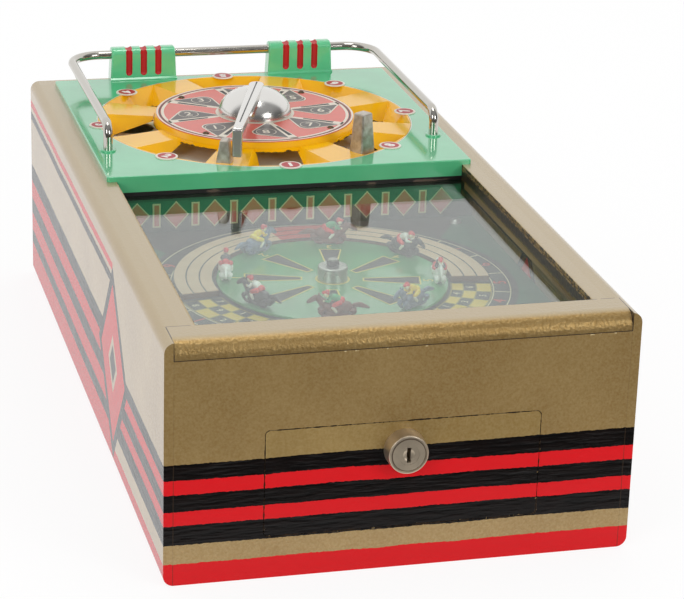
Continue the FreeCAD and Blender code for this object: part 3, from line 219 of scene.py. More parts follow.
class Finish:
    """A material with one Principled shader, whose sockets take numbers, colours or patterns."""

    def __init__(self, name, colour, roughness, metallic=0.0):
        self.material = bpy.data.materials.new(name)
        self.material.use_nodes = True
        self.tree = self.material.node_tree
        self.shader = self.tree.nodes["Principled BSDF"]
        self.now = {}
        self.set("Base Color", colour)
        self.set("Roughness", roughness)
        self.set("Metallic", metallic)

    def set(self, socket, value):
        """Sets one of the shader's sockets."""
        self.now[socket] = value
        feed(self.shader.inputs[socket], value)

    def place(self, scale=(1.0, 1.0, 1.0), centre=(0.0, 0.0, 0.0)):
        """Object coordinates about a centre, stretched by a scale."""
        shift = [-c * s for c, s in zip(centre, scale)]
        return Pattern(add_node(self.tree, "Mapping", {
            "Vector": coordinates(self.tree, "Object"), "Scale": scale, "Location": shift,
        }).outputs[0])

    def lay_over(self, share, colour, metallic=0.0):
        """Lays another colour over the finish's own by a share, with its own share of metal."""
        self.set("Base Color", mixed(share, self.now["Base Color"], colour))
        self.set("Metallic", share * metallic + self.now["Metallic"] * (1.0 - share))

    def relief(self, height, strength, depth):
        """Bumps the surface by a height."""
        bump = add_node(self.tree, "Bump",
                        {"Strength": strength, "Distance": depth, "Height": height})
        self.set("Normal", Pattern(bump.outputs[0]))

    def mix_with(self, other, share):
        """Puts a second shader in the finish's place by a share."""
        shaders = {0: share, 1: Pattern(self.shader.outputs[0]), 2: Pattern(other.outputs[0])}
        mix = add_node(self.tree, "MixShader", shaders)
        feed(self.tree.nodes["Material Output"].inputs["Surface"], Pattern(mix.outputs[0]))


def door_edge(x, z):
    """Distance from the drawer front's outline, a rectangle with rounded corners."""
    past_x = abs(x) - (door_half - door_corner)
    past_z = abs(z - door_middle) - (door_half_height - door_corner)
    beyond = slant(either(past_x, 0.0), either(past_z, 0.0))
    within = calc("MINIMUM", either(past_x, past_z), 0.0)
    return abs(beyond + within - door_corner)


def stripe_paint(where):
    """Colour and cover of the hand-pulled stripes and the side's lozenge."""
    x, y, z = axes(where)
    wander = cloud(where, 26.0, 2.0, -stripe_wobble / 2, stripe_wobble / 2)
    ragged = cloud(where, ragged_scale, 3.0, -stripe_raggedness / 2, stripe_raggedness / 2)
    level = z + (wander + ragged)
    rise = (level > top_stripe_middle) * (x * top_stripe_slope)
    front = banded(level - rise, front_stripe_tops, mm)
    rear = banded(level, side_stripe_tops, mm)
    behind = y > lozenge_y
    paint = mixed(behind, front[0], rear[0])
    cover = between(behind, front[1], rear[1])
    out = abs(y - lozenge_y) / lozenge_half_y + abs(level - lozenge_z) / lozenge_half_z
    core = banded(out, lozenge_bands)
    inside = out < 1.0
    paint = mixed(inside, paint, core[0])
    cover = cover * (1.0 - inside) + core[1] * inside
    chips = door_edge(x, z) < cloud(where, ragged_scale, 3.0, chip_low, chip_high)
    return paint, cover * (1.0 - chips * (y < front_face))


def gold_finish(name, striped=False, light=gold_light, dark=gold_dark, texture=fine_grain):
    """Gold bronze paint with a fine grain, paler where it faces up as a painted highlight, and the
    stripes over it where asked.
    """
    gold = Finish(name, light, gold_roughness, gold_share_of_metal)
    where = gold.place()
    x, y, z = axes(where)
    at_front = y < front_face
    grain = height = cloud(where, texture[0])
    colour = mixed(cloud(where, 16.0, 3.0), dark, light)
    colour = mixed(grain * grain_show, colour, gold_fleck)
    sideways, _, facing = axes(coordinates(gold.tree, "Normal"))
    # Share of painted highlight: how far the surface faces up.
    lit_top = calc("SMOOTH_MAX", facing, 0.0, 0.2)
    gold.set("Coat Roughness", 0.12)
    gold.set("Coat Weight", gold_coat)
    if texture is coarse_grain:
        lit_top = 1.0 - step_down(facing, 0.86, 0.99)
        gold.set("Coat Weight", lit_top * gold_coat)
        gold.set("Metallic", between(lit_top, nose_share_of_metal, gold_share_of_metal))
    # Painted highlight: upward-facing gold is mixed towards a paler gold.
    colour = mixed(lit_top, colour, lit_top_gold)
    show = seam_show
    if striped:
        paint, cover = stripe_paint(where)
        streaks = cloud(gold.place(brush_streaks), 1.0, 5.0)
        paint = mixed(streaks * streak_show, paint, streak_brown)
        black = axes(paint)[0] < 0.2
        colour = mixed(cover, colour, paint)
        matt = cover * step_down(abs(sideways), 0.6, 1.0)
        gold.set("Coat Weight", between(cover, gold_coat, side_coat) * (1.0 - matt))
        gold.set("Metallic", between(cover, gold_share_of_metal, 0.0))
        gold.set("Roughness", between(cover, gold_roughness, stripe_roughness))
        gold.set("Specular IOR Level", 0.2)
        folds = cover * black * (streaks * cloud(where, 34.0, 2.0, 0.2, 1.0))
        height = folds * fold_depth + grain * between(cover, 1.0, 0.3)
        show = between(cover, seam_show, painted_seam_show)
    gold.set("Base Color", colour)
    across = abs(x)
    worn = cloud(where, 240.0, 3.0)
    over_rail = z > seam_z
    show = either(show, over_rail) * (y < rail_back)
    upright = close_to(across, seam_x, seam_half) * show
    level = close_to(z, seam_z, seam_half) * at_front
    joint = close_to(y, rail_back, seam_half) * (over_rail * (worn < seam_patches))
    joint = either(joint, level) * (across < seam_x)
    gold.lay_over(either(upright, joint), joint_and_shade_brown)
    rubbed = close_to(z, rubbed_z, rubbed_half) * (at_front * (worn > rubbed_patches))
    gold.lay_over(rubbed * (across < seam_x), worn_gold)
    # Painted shade: a dark ragged line round the drawer front, where the gap between drawer and
    # board lies in shade.
    if striped:
        gold.lay_over(at_front * (door_edge(x, z) < worn * door_gap_shade), joint_and_shade_brown)
    gold.relief(height, 0.6, texture[1])
    return gold


def strip_finish():
    """Gold on top; the inner faces carry painted shade of the glass channel, black above an olive
    line of gold in shade.
    """
    gold = gold_finish("strip_gold")
    where = gold.place()
    x, y, z = axes(where)
    ragged = cloud(where, 330.0, 4.0, -0.4 * mm, 0.4 * mm)
    inner = abs(x) < strip_face + channel_skin
    # Painted shade of the glass channel: the inner face turns black, and olive just above the
    # glass, where the gold lies in shade.
    gold.lay_over(inner * (z + ragged < glass_top + channel_top), channel_shade_black)
    gold.lay_over(inner * (z < glass_top + channel_line), shaded_bead_olive)
    gold.set("Coat Weight", between(inner, gold_coat, 0.0))
    gold.lay_over(abs(x) + ragged < strip_face, joint_and_shade_brown)
    return gold


def pine_finish():
    """Bare pine: pale rings drawn out along the board."""
    bare = Finish("bare_pine", (196, 158, 108), 0.7)
    grain = cloud(bare.place((90.0, 5.0, 90.0)), 1.0, 5.0)
    bare.set("Base Color", mixed(grain, pine_dark, pine_light))
    bare.relief(grain, 0.3, 0.3 * mm)
    return bare


def dress(names, finish):
    """Gives CAD pieces their finish."""
    for name in names:
        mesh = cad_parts[name].data
        mesh.materials.clear()
        mesh.materials.append(finish.material)


dress(["front_board", "left_side_board", "right_side_board"], gold_finish("striped_gold", True))
dress(["drawer_front"], gold_finish("striped_door_gold", True, door_gold_light, door_gold_dark))
dress(["front_rail"], gold_finish("crumpled_gold", texture=coarse_grain))
dress(["back_board"], gold_finish("plain_gold"))
dress(["top_strips"], strip_finish())
dress(["base_board", "glass_ledges", "playfield_cleats", "drawer_runners"], pine_finish())


# Playfield board: the printed board that the race is run on.
# Fibreboard, varnished over a printed sheet: a dark field inside a green surround,
# a yellow and black chequer of odds in front and a ring of plain numbers round it.
print_thickness = 0.04 * mm
ink_black = (22, 26, 28)
ink_green = (0, 84, 56)
ink_cream = (238, 224, 190)
ink_red = (214, 58, 40)
ink_yellow = (235, 200, 60)
deep_green, board_brown = (10, 96, 66), (120, 86, 54)
chequer_rings = [75 * mm, 82.5 * mm, 90.6 * mm, 100 * mm]
chequer_half_angle, chequer_rows = 80.0, 18
number_ring = (101.4 * mm, 112.1 * mm)
number_cells, dark_field_radius = 20, 117 * mm
chequer_gap, chequer_gap_angle = 0.4 * mm, 0.35
chequer_figure, ring_figure = 6.4 * mm, 11.5 * mm
ring_line, ring_line_angle = 0.35 * mm, 0.3
field_reach, field_corner, gap_behind = 128, 9 * mm, 60


def middle(name):
    """Middle of a CAD piece's box."""
    return sum(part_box(name), Vector()) / 2


def layers(level):
    """Levels of the printed layers that lie one on the other from a level up."""
    return [level + k * print_thickness for k in range(7)]


axle = middle("turntable_disc")
board_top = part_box("playfield_board")[1].z


class Skin:
    """Surfaces gathered into one piece, each with its own finish."""

    def __init__(self):
        self.points, self.faces, self.finishes, self.marks = [], [], [], []

    def add(self, points, faces, finish):
        """Points in metres and faces as lists of corner numbers."""
        if finish not in self.finishes:
            self.finishes.append(finish)
        start = sum(len(p) for p in self.points)
        self.points.append(np.asarray(points, float).reshape(-1, 3))
        self.faces += [[c + start for c in face] for face in faces]
        self.marks += [self.finishes.index(finish)] * len(faces)

    def grid(self, points, finish, ring_rows=False):
        """Rows of points closed into rings; the rows close on themselves too where asked."""
        rows, columns = points.shape[:2]
        i, j = np.meshgrid(np.arange(rows - (not ring_rows)), np.arange(columns), indexing="ij")
        k, l = (i + 1) % rows, (j + 1) % columns
        corners = [i * columns + j, k * columns + j, k * columns + l, i * columns + l]
        self.add(points, np.stack(corners, -1).reshape(-1, 4).tolist(), finish)

    def ring(self, inner, outer, low, high, centre, finish):
        """A flat ring with a rectangular section, closed on itself both ways."""
        angles = np.linspace(0, 360, 96, endpoint=False)
        section = ((inner, low), (outer, low), (outer, high), (inner, high))
        points = [np.column_stack([from_front(r, angles, centre), np.full(96, z)])
                  for r, z in section]
        self.grid(np.stack(points), finish, True)

    def slab(self, outline, low, high, finish, upright=False):
        """A flat solid between two levels over an outline of (x, y) points; upright, the
        points are (x, z) and the levels lie along Y."""
        count = len(outline)
        rings = np.concatenate([np.column_stack([outline, np.full(count, level)])
                                for level in (low, high)])
        k = np.arange(count)
        sides = np.stack([k, (k + 1) % count, (k + 1) % count + count, k + count], -1)
        lids = [k[::-1].tolist(), (k + count).tolist()]
        self.add(rings[:, [0, 2, 1]] if upright else rings, sides.tolist() + lids, finish)

    def make(self, name, body, slot, *stands_for, smooth=True):
        """The finished piece: doubles merged, faces turned outwards, riding on its body."""
        mesh = bpy.data.meshes.new(name)
        mesh.from_pydata(np.concatenate(self.points).tolist(), [], self.faces)
        for finish in self.finishes:
            mesh.materials.append(finish.material)
        mesh.polygons.foreach_set("material_index", self.marks)
        shape = bmesh.new()
        shape.from_mesh(mesh)
        bmesh.ops.remove_doubles(shape, verts=shape.verts, dist=0.002 * mm)
        bmesh.ops.recalc_face_normals(shape, faces=shape.faces)
        shape.to_mesh(mesh)
        shape.free()
        mesh.polygons.foreach_set("use_smooth", [smooth] * len(mesh.polygons))
        piece = bpy.data.objects.new(name, mesh)
        bpy.context.scene.collection.objects.link(piece)
        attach(piece, body)
        if stands_for:
            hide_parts(*stands_for)
        return piece


def from_front(radius, degrees, centre):
    """Points on a circle, counted clockwise from the front as seen from above."""
    turn = np.radians(degrees)
    return np.stack([centre.x - radius * np.sin(turn), centre.y - radius * np.cos(turn)], -1)


def sector(inner, outer, start, end, centre, step=2.0):
    """Outline of a piece of a flat ring between two radii and two angles."""
    angles = np.linspace(start, end, max(2, int(abs(end - start) / step) + 1))
    return np.concatenate([from_front(outer, angles, centre),
                           from_front(inner, angles[::-1], centre)])


def ink(name, colour, roughness=0.45):
    """Printed or screened colour, with the slight unevenness of its ground."""
    printed = Finish(name, colour, roughness)
    tone = cloud(printed.place(), 160.0, 4.0, 0.0, 0.16)
    printed.set("Base Color", mixed(tone, colour, [0.55 * c + 50 for c in colour]))
    return printed


def digits(text, size, x, y, low, high, finish, skin, turn=0.0, weight=0.012):
    """Plain figures standing as a thin flat solid, centred on a point and turned."""
    curve = bpy.data.curves.new("digits", "FONT")
    curve.body = text
    curve.align_x, curve.align_y = "CENTER", "CENTER"
    curve.resolution_u = 3
    curve.extrude = 0.5
    curve.offset = weight
    maker = bpy.data.objects.new("digits", curve)
    mesh = bpy.data.meshes.new_from_object(maker)
    points = np.zeros(len(mesh.vertices) * 3)
    mesh.vertices.foreach_get("co", points)
    points = points.reshape(-1, 3)
    c, s = math.cos(turn), math.sin(turn)
    flat = points[:, :2] * size @ np.array([[c, s], [-s, c]]) + (x, y)
    heights = low + (points[:, 2] + 0.5) * (high - low)
    faces = [list(p.vertices) for p in mesh.polygons]
    skin.add(np.column_stack([flat, heights]), faces, finish)
    bpy.data.objects.remove(maker)
    bpy.data.meshes.remove(mesh)
    bpy.data.curves.remove(curve)


def playfield_board_finish():
    """Green ground of the printed board, bare brown board at its edges."""
    board = Finish("playfield_ground", ink_green, 0.5)
    x, y, z = axes(board.place())
    ground = mixed(cloud(board.place(), 40.0, 4.0), ink_green, deep_green)
    board.set("Base Color", mixed(z > board_top - 0.2 * mm, board_brown, ground))
    return board


def playfield_print():
    """The dark field, the chequer of odds, the number ring and their lines."""
    skin = Skin()
    layer = layers(board_top)
    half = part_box("playfield_board")[1].x - 1 * mm
    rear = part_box("title_board")[0].y - 0.3 * mm
    black, cream = ink("field_black", ink_black), ink("field_cream", ink_cream)
    yellow, red = ink("field_yellow", ink_yellow), ink("field_red", ink_red)
    round_part = from_front(dark_field_radius, np.linspace(-field_reach, field_reach, 90), axle)
    corners = np.array([[-half + field_corner, rear], [half - field_corner, rear]])
    field = np.concatenate([round_part[::-1], corners[::-1]])
    field = field[np.abs(field[:, 0]) < half]
    skin.slab(field, layer[0], layer[1], black)
    front_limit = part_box("front_rail")[1].y - 6 * mm
    step = 2 * chequer_half_angle / chequer_rows
    for row in range(chequer_rows):
        start = -chequer_half_angle + row * step
        for k, (inner, outer) in enumerate(zip(chequer_rings, chequer_rings[1:])):
            cell = sector(inner + chequer_gap, outer - chequer_gap, start + chequer_gap_angle,
                          start + step - chequer_gap_angle, axle)
            if cell[:, 1].min() < front_limit:
                continue
            dark = (row + k) % 2
            skin.slab(cell, layer[1], layer[2], black if dark else yellow)
            if dark:
                x, y = from_front((inner + outer) / 2, start + step / 2, axle)
                digits(str((3 * row + 5 * k) % 9 + 1), chequer_figure, x, y, layer[2], layer[3],
                       cream, skin, -math.radians(start + step / 2))
    ground = sector(chequer_rings[0] - 0.6 * mm, chequer_rings[-1] + 0.6 * mm,
                    -chequer_half_angle, chequer_half_angle, axle)
    skin.slab(ground, layer[1] - print_thickness / 2, layer[1] + print_thickness / 2,
              ink("field_olive", (150, 132, 52)))
    inner, outer = number_ring
    for radius in number_ring:
        skin.ring(radius - ring_line, radius + ring_line, layer[1], layer[2], axle, cream)
    for cell in range(number_cells):
        turn = (cell + 0.5) * 360 / number_cells
        if abs(turn - 180) < gap_behind:
            continue
        line = sector(inner, outer, turn - 9 - ring_line_angle, turn - 9 + ring_line_angle, axle)
        skin.slab(line, layer[1], layer[2], cream)
        x, y = from_front((inner + outer) / 2, turn, axle)
        digits(str((cell * 7 + 3) % 8 + 1), ring_figure, x, y, layer[2], layer[3], red, skin,
               -math.radians(turn))
    return skin.make("playfield_print", "cabinet", "printed_board", smooth=False)


dress(["playfield_board"], playfield_board_finish())
playfield_print()


# Title board: the upright board that closes the playfield at the back.
# Varnished fibreboard in dark green; a plain frieze of lozenges and bars stands on it.
title_green = (0, 30, 14)
frieze_count, frieze_pitch = 9, 26 * mm
frieze_height, frieze_width, frieze_line = 17 * mm, 15 * mm, 1.1 * mm
frieze_bar, frieze_bar_share, frieze_drop = 1.6 * mm, 0.42, 1 * mm


def title_frieze():
    """Upright lozenges with bars between them, red inside a cream line."""
    low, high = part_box("title_board")
    skin = Skin()
    red, cream = ink("frieze_red", (205, 72, 40)), ink("frieze_cream", (226, 208, 160))
    level = (low.z + high.z) / 2 - frieze_drop
    for k in range(frieze_count):
        x = (k - (frieze_count - 1) / 2) * frieze_pitch
        for grow, lift, finish in ((frieze_line, 1, cream), (0.0, 2, red)):
            a, b = frieze_width / 2 + grow, frieze_height / 2 + grow
            back = low.y - (lift - 1) * print_thickness
            front = back - print_thickness
            lozenge = np.array([[x - a, level], [x, level - b], [x + a, level], [x, level + b]])
            skin.slab(lozenge, back, front, finish, True)
            if k < frieze_count - 1:
                bar_x, bar = x + frieze_pitch / 2, frieze_bar + grow
                tall = frieze_height * frieze_bar_share + grow
                outline = np.array([[bar_x - bar, level - tall], [bar_x + bar, level - tall],
                                    [bar_x + bar, level + tall], [bar_x - bar, level + tall]])
                skin.slab(outline, back, front, finish, True)
    return skin.make("title_frieze", "cabinet", "printed_board", smooth=False)


dress(["title_board"], ink("title_green", title_green, 0.35))
title_frieze()


# Track: three raised lanes round the back of the turntable.
# Sawn fibreboard, painted cream with dark lane lines and a red finishing stretch.
lane_edges = (75.2 * mm, 83.5 * mm, 91.8 * mm, 99.9 * mm)
lane_line = 0.9 * mm
finish_stretch = (168.0, 198.0)
track_cream, track_tan, track_red = (232, 198, 166), (202, 164, 130), (206, 64, 50)
lane_dark, track_side = (48, 40, 36), (104, 66, 44)


def track_finish():
    """Cream lanes ruled by dark lines at the lane joints; red over the finishing stretch."""
    track = Finish("track_paint", (230, 196, 164), 0.45)
    x, y, z = axes(track.place(centre=axle))
    line = 0.0
    for edge in lane_edges:
        line = either(line, close_to(slant(x, y), edge, lane_line / 2))
    start, end = (math.radians(angle - 180) for angle in finish_stretch)
    red = close_to(calc("ARCTAN2", x, y), (start + end) / 2, (end - start) / 2)
    ground = mixed(cloud(track.place(), 130.0, 4.0, 0.0, 0.35), track_cream, track_tan)
    ground = mixed(red, ground, track_red)
    ground = mixed(line, ground, lane_dark)
    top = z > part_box("track_ring")[1].z - axle.z - 0.5 * mm
    track.set("Base Color", mixed(top, track_side, ground))
    return track


dress(["track_ring"], track_finish())


# Works under the playfield: plates, gears, rack, pawl, shafts and their bushings.
# Blanked steel plate, milled brass wheels and turned steel, left as machined; the hopper and the
# shutter are dull zinc, painted near white as painted light, since they lie deep in shade under the
# pockets.
def machined(name, colour, roughness, scale=(40.0, 900.0, 40.0)):
    """Bare metal with the fine lines of its machining and a little tarnish."""
    metal = Finish(name, colour, roughness, 1.0)
    lines = cloud(metal.place(scale), 1.0)
    stain = cloud(metal.place(), 60.0, 4.0, 0.0, 0.5)
    metal.set("Base Color", mixed(stain, colour, [0.62 * c for c in colour]))
    metal.set("Roughness", lines * 0.15 + roughness)
    metal.relief(lines, 0.08, 0.05 * mm)
    return metal


# Painted light: the zinc is given a near-white colour so that the shutter and hopper, deep in shade
# under the pockets, look lit.
zinc = ink("zinc_painted_light", (255, 250, 236), 0.5)
zinc.set("Coat Weight", 0.5)
zinc.set("Coat Roughness", 0.12)
dress(["coin_shutter", "coin_hopper"], zinc)
dress(["mechanism_plate", "mechanism_standoffs", "rear_bridge", "spindle", "handle_shaft",
       "kick_pawl", "return_spring", "ratchet_wheel", "lock_cam", "wood_screws"],
      machined("bright_steel", (176, 174, 170), 0.32))
dress(["drive_gear", "kick_gear", "drive_rack", "rack_guides", "spindle_bushing",
       "shaft_bushing"], machined("machined_brass", (196, 160, 92), 0.3))
dress(["drawer_tray"], machined("tinned_sheet", (150, 148, 142), 0.42))


# Turntable: the green disc that carries the horses round, with its printed wedges.
# Pressed steel, sprayed green; black wedges in yellow outline and yellow numbers on it.
wedge_start, wedge_inner, wedge_outer = 12.5, 20 * mm, 54.6 * mm
wedge_half_inner, wedge_half_outer, wedge_line = 1.9 * mm, 6.4 * mm, 1.0 * mm
turntable_number_radius, turntable_number_start = 60.7 * mm, 102.0
hub_ring = (9.6 * mm, 11.0 * mm)
disc_green, disc_deep = (90, 174, 108), (70, 154, 94)
turntable_figure = 9 * mm
enamel_coat, enamel_roughness = 0.9, 0.16


def enamel(name, colour, deep):
    """Sprayed gloss enamel: nearly even colour and a faint orange-peel."""
    coat = Finish(name, colour, enamel_roughness)
    where = coat.place()
    coat.set("Base Color", mixed(cloud(where, 30.0, 4.0), colour, deep))
    coat.set("Coat Weight", enamel_coat)
    coat.set("Coat Roughness", 0.05)
    coat.relief(cloud(where, 240.0), 0.12, 0.12 * mm)
    return coat


def turntable_print():
    """Wedges and numbers, laid on the disc in two layers."""
    skin = Skin()
    layer = layers(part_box("turntable_disc")[1].z)
    black, yellow = ink("wedge_black", (18, 22, 22)), ink("wedge_yellow", (228, 208, 84))
    for k in range(8):
        angle = wedge_start + 45 * k
        for grow, low, finish in ((wedge_line, 0, yellow), (0.0, 1, black)):
            along = from_front(1.0, angle, Vector())
            across = np.array([along[1], -along[0]])
            inner, outer = wedge_inner - grow, wedge_outer + grow
            a, b = wedge_half_inner + grow, wedge_half_outer + grow
            outline = [along * inner + across * a, along * outer + across * b,
                       along * outer - across * b, along * inner - across * a]
            skin.slab(np.array(outline) + (axle.x, axle.y), layer[low], layer[low + 1], finish)
        number_angle = turntable_number_start + 45 * k
        x, y = from_front(turntable_number_radius, number_angle, axle)
        digits(str(k + 1), turntable_figure, x, y, layer[0], layer[1], yellow, skin,
               -math.radians(number_angle))
    skin.ring(*hub_ring, layer[0], layer[1], axle, yellow)
    return skin.make("turntable_print", "turntable", "green_paint", smooth=False)


dress(["turntable_disc"], enamel("disc_green", disc_green, disc_deep))
turntable_print()


# Hub cap and nut: the bright cap over the spindle.
# Spun brass cap, chromium plated, and a blackened steel nut.
def plated(name, colour, roughness, haze=0.06):
    """Polished plating with faint cloudy wear and fine scratches."""
    plate = Finish(name, colour, roughness, 1.0)
    plate.set("Roughness", cloud(plate.place(), 55.0, 5.0) * haze + roughness)
    plate.relief(cloud(plate.place((700.0, 90.0, 240.0)), 1.0), 0.03, 0.04 * mm)
    return plate


dress(["hub_cap"], plated("chromium_plate", (178, 176, 170), 0.24))
dress(["cap_nut", "rail_nuts"], machined("blackened_steel", (66, 64, 62), 0.4))


# Horses: eight small racehorses with crouched riders, pinned to the turntable.
# Slush-cast lead, each brushed in its own colours: coat, shirt, breeches and cap.
coats = {"brown": (96, 50, 40), "black": (34, 32, 36), "white": (226, 222, 212),
         "grey": (92, 104, 128)}
liveries = [("brown", (40, 132, 84), (196, 44, 46)), ("black", (226, 220, 206), (196, 44, 46)),
            ("white", (42, 40, 44), (196, 44, 46)), ("grey", (238, 180, 40), (238, 180, 40))]
cap_red, face_pink, boot_cream = (198, 40, 44), (226, 188, 160), (226, 214, 190)
horse_ring = 67 * mm
first_horse = 12.0
limb_rings, limb_sides = 18, 14

# Each limb: points and radii in mm, and its flatness; one that stands to a side has a twin.
figure_limbs = {
    "coat": [
        ([(-9.5, 0, 7.0), (-4, 0, 6.6), (2, 0, 6.4), (9, 0, 7.6)], [3.2, 4.5, 4.0, 3.6], 0.85),
        ([(-8, 0, 3.4), (0, 0, 2.6), (8, 0, 3.4)], [2.4, 2.9, 2.4], 1.1),
        ([(6.5, 0, 7.6), (9.6, 0, 10.6), (12.6, 0, 13.2)], [3.4, 2.6, 1.7], 0.7),
        ([(11.2, 0, 13.4), (14.2, 0, 12.0), (18.4, 0, 9.2)], [1.9, 1.8, 1.1], 0.7),
        ([(-9, 0, 8.2), (-14, 0, 8.6), (-20, 0, 6.6)], [1.4, 1.7, 0.8], 0.8),
        ([(7.4, 0, 10.0), (9.8, 0, 13.0), (11.4, 0, 14.6)], [0.8, 0.9, 0.6], 0.6),
        ([(8.0, 2.0, 6.4), (10.4, 2.1, 4.0), (9.4, 2.1, 2.0)], [2.2, 1.4, 1.0]),
        ([(9.6, 2.1, 2.2), (7.0, 2.1, 1.4), (4.0, 2.1, 1.3)], [1.0, 0.9, 1.2]),
        ([(-8.4, 2.2, 6.4), (-10.6, 2.3, 4.4), (-9.4, 2.3, 2.2)], [2.8, 1.7, 1.1]),
        ([(-9.6, 2.3, 2.4), (-6.6, 2.2, 1.5), (-3.6, 2.2, 1.4)], [1.1, 0.9, 1.2]),
        ([(11.0, 0.8, 14.0), (11.0, 0.9, 14.9), (10.8, 1.0, 15.6)], [0.7, 0.5, 0.25])],
    "shirt": [
        ([(-2.6, 0, 11.2), (1.0, 0, 12.9), (4.6, 0, 13.6)], [2.2, 2.3, 1.8], 1.05),
        ([(3.8, 1.8, 13.2), (4.6, 2.6, 11.2), (7.6, 1.6, 10.8)], [1.15, 1.0, 0.8])],
    "breeches": [
        ([(-4.6, 0, 10.6), (-2.6, 0, 11.0), (-0.6, 0, 11.6)], [2.2, 2.6, 2.1]),
        ([(-3.0, 2.2, 10.8), (0.6, 3.3, 9.6), (3.4, 3.5, 8.4)], [1.8, 1.5, 1.2])],
    "boot": [([(3.2, 3.6, 8.2), (1.4, 3.8, 6.2), (0.0, 3.8, 4.4)], [1.1, 0.9, 0.8])],
    "face": [
        ([(5.6, 0, 14.2), (6.8, 0, 14.9), (8.2, 0, 15.2)], [1.5, 1.8, 1.3]),
        ([(7.4, 1.6, 10.8), (8.1, 1.4, 10.9), (8.7, 1.2, 11.0)], [0.6, 0.75, 0.5])],
    "cap": [
        ([(4.6, 0, 15.6), (6.2, 0, 16.2), (7.6, 0, 16.3)], [1.4, 1.75, 1.4]),
        ([(6.6, 0, 15.9), (8.2, 0, 16.0), (9.4, 0, 15.8)], [1.2, 1.1, 0.5], 1.1)]}


def cast_paint(name, colour):
    """Brushed lacquer over cast lead, thin on the high spots."""
    lacquer = Finish(name, colour, 0.28)
    tone = cloud(lacquer.place(), 500.0, 4.0)
    lacquer.set("Base Color", mixed(tone, colour, [min(255, 1.25 * c + 16) for c in colour]))
    lacquer.relief(tone, 0.2, 0.15 * mm)
    return lacquer


def limb(path, radii, flat=1.0):
    """Rounded limb: a circle, flattened sideways, carried along a smooth line through
    a few points; its radius follows the given radii and closes in an ellipse at both ends."""
    path, radii = np.array(path, float), np.array(radii, float)
    knots = np.linspace(0, 1, len(path))
    t = (1 - np.cos(np.linspace(0, np.pi, limb_rings))) / 2
    line = np.stack([np.interp(t, knots, path[:, k]) for k in range(3)], -1)
    run = path[-1] - path[0]
    run = run / np.linalg.norm(run)
    side = np.cross(run, (0, 0, 1.0))
    side = side / np.linalg.norm(side) if np.linalg.norm(side) > 0.1 else np.array([0, 1.0, 0])
    up = np.cross(side, run)
    closing = np.sqrt(np.clip(1 - np.abs(2 * t - 1) ** 6, 0, 1))
    size = (np.interp(t, knots, radii) * closing)[:, None, None]
    turn = np.linspace(0, 2 * np.pi, limb_sides, endpoint=False)[None, :, None]
    return line[:, None, :] + size * (np.cos(turn) * side * flat + np.sin(turn) * up)


def set_horse(number, paints):
    """Places one figure on the disc at its angle, in its livery."""
    coat, shirt, breeches = liveries[number % len(liveries)]
    finishes = {"coat": paints[coat], "shirt": paints[shirt], "breeches": paints[breeches],
                "boot": paints[boot_cream], "face": paints[face_pink], "cap": paints[cap_red]}
    angle = first_horse + 45 * number
    turn = math.radians(180 - angle)
    spin = np.array([[math.cos(turn), math.sin(turn), 0], [-math.sin(turn), math.cos(turn), 0],
                     [0, 0, 1]])
    foot = np.append(from_front(horse_ring, angle, axle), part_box("turntable_disc")[1].z)
    skin = Skin()
    for part, limbs in figure_limbs.items():
        for path, radii, *flat in limbs:
            twins = (-1, 1) if path[0][1] else (1,)
            for side in twins:
                surface = limb(np.multiply(path, (1, side, 1)), radii, *flat)
                skin.grid(surface * mm @ spin + foot, finishes[part])
    name = "horse_" + str(number + 1)
    return skin.make(name + "_figure", "turntable", "horse_" + coat, name)


paint_colours = {key: key for _, shirt, breeches in liveries for key in (shirt, breeches)}
paint_colours |= {boot_cream: boot_cream, face_pink: face_pink, cap_red: cap_red} | coats
paints = {key: cast_paint("lead_paint_" + str(k), colour)
          for k, (key, colour) in enumerate(paint_colours.items())}
for number in range(8):
    set_horse(number, paints)


# Playfield glass: a plain sheet slid under the front rail up to the plate's skirt.
# Drawn window glass with polished edges; it lets the room's light through to the board.
def rays(tree, *kinds):
    """What kinds of ray look at the surface: 1 or 0 for each."""
    path = add_node(tree, "LightPath").outputs
    return [Pattern(path[f"Is {kind} Ray"]) for kind in kinds]


def window_glass():
    """Clear glass that lamps shine through."""
    glass = Finish("window_glass", (240, 247, 243), 0.0)
    glass.set("Transmission Weight", 1.0)
    glass.set("IOR", 1.5)
    clear = add_node(glass.tree, "BsdfTransparent", {"Color": (236, 244, 240)})
    glass.mix_with(clear, either(*rays(glass.tree, "Shadow", "Diffuse")))
    return glass


dress(["playfield_glass"], window_glass())


# Rear seal: the strip that closes the gap between the glass and the skirt.
# Black rubbered cloth, scuffed to brown along its edge.
def seal_finish():
    """Black strip with pale scuffs."""
    strip = Finish("rubbered_cloth", (26, 24, 23), 0.5)
    scuff = cloud(strip.place((30.0, 200.0, 200.0)), 1.0, 5.0)
    strip.set("Base Color", mixed(scuff > 0.72, (26, 24, 23), (96, 80, 68)))
    strip.relief(scuff, 0.4, 0.2 * mm)
    return strip


dress(["glass_rear_seal"], seal_finish())


# Top plate and brackets: the casting over the back half and the two feet of the rail.
# Cast iron in green enamel; the brackets' flutes are picked out in red.
enamel_green, enamel_deep = (94, 198, 142), (84, 188, 132)
bracket_green = (108, 210, 152)
flute_pitch, flute_radius, flute_depth = 10.8 * mm, 2.45 * mm, 1.84 * mm
flute_foot, flute_tolerance, flute_edge = 3.0 * mm, 0.2 * mm, 0.03 * mm
bracket_foot = 1.2 * mm
# The cream is worn paint and a painted highlight on the plate's opening edge.
enamel_red, worn_and_lit_cream = (196, 24, 30), (222, 214, 190)
plate_line, flute_roughness = -2.0 * mm, 0.46
plate_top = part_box("dial_plate")[0].z - 3.9 * mm


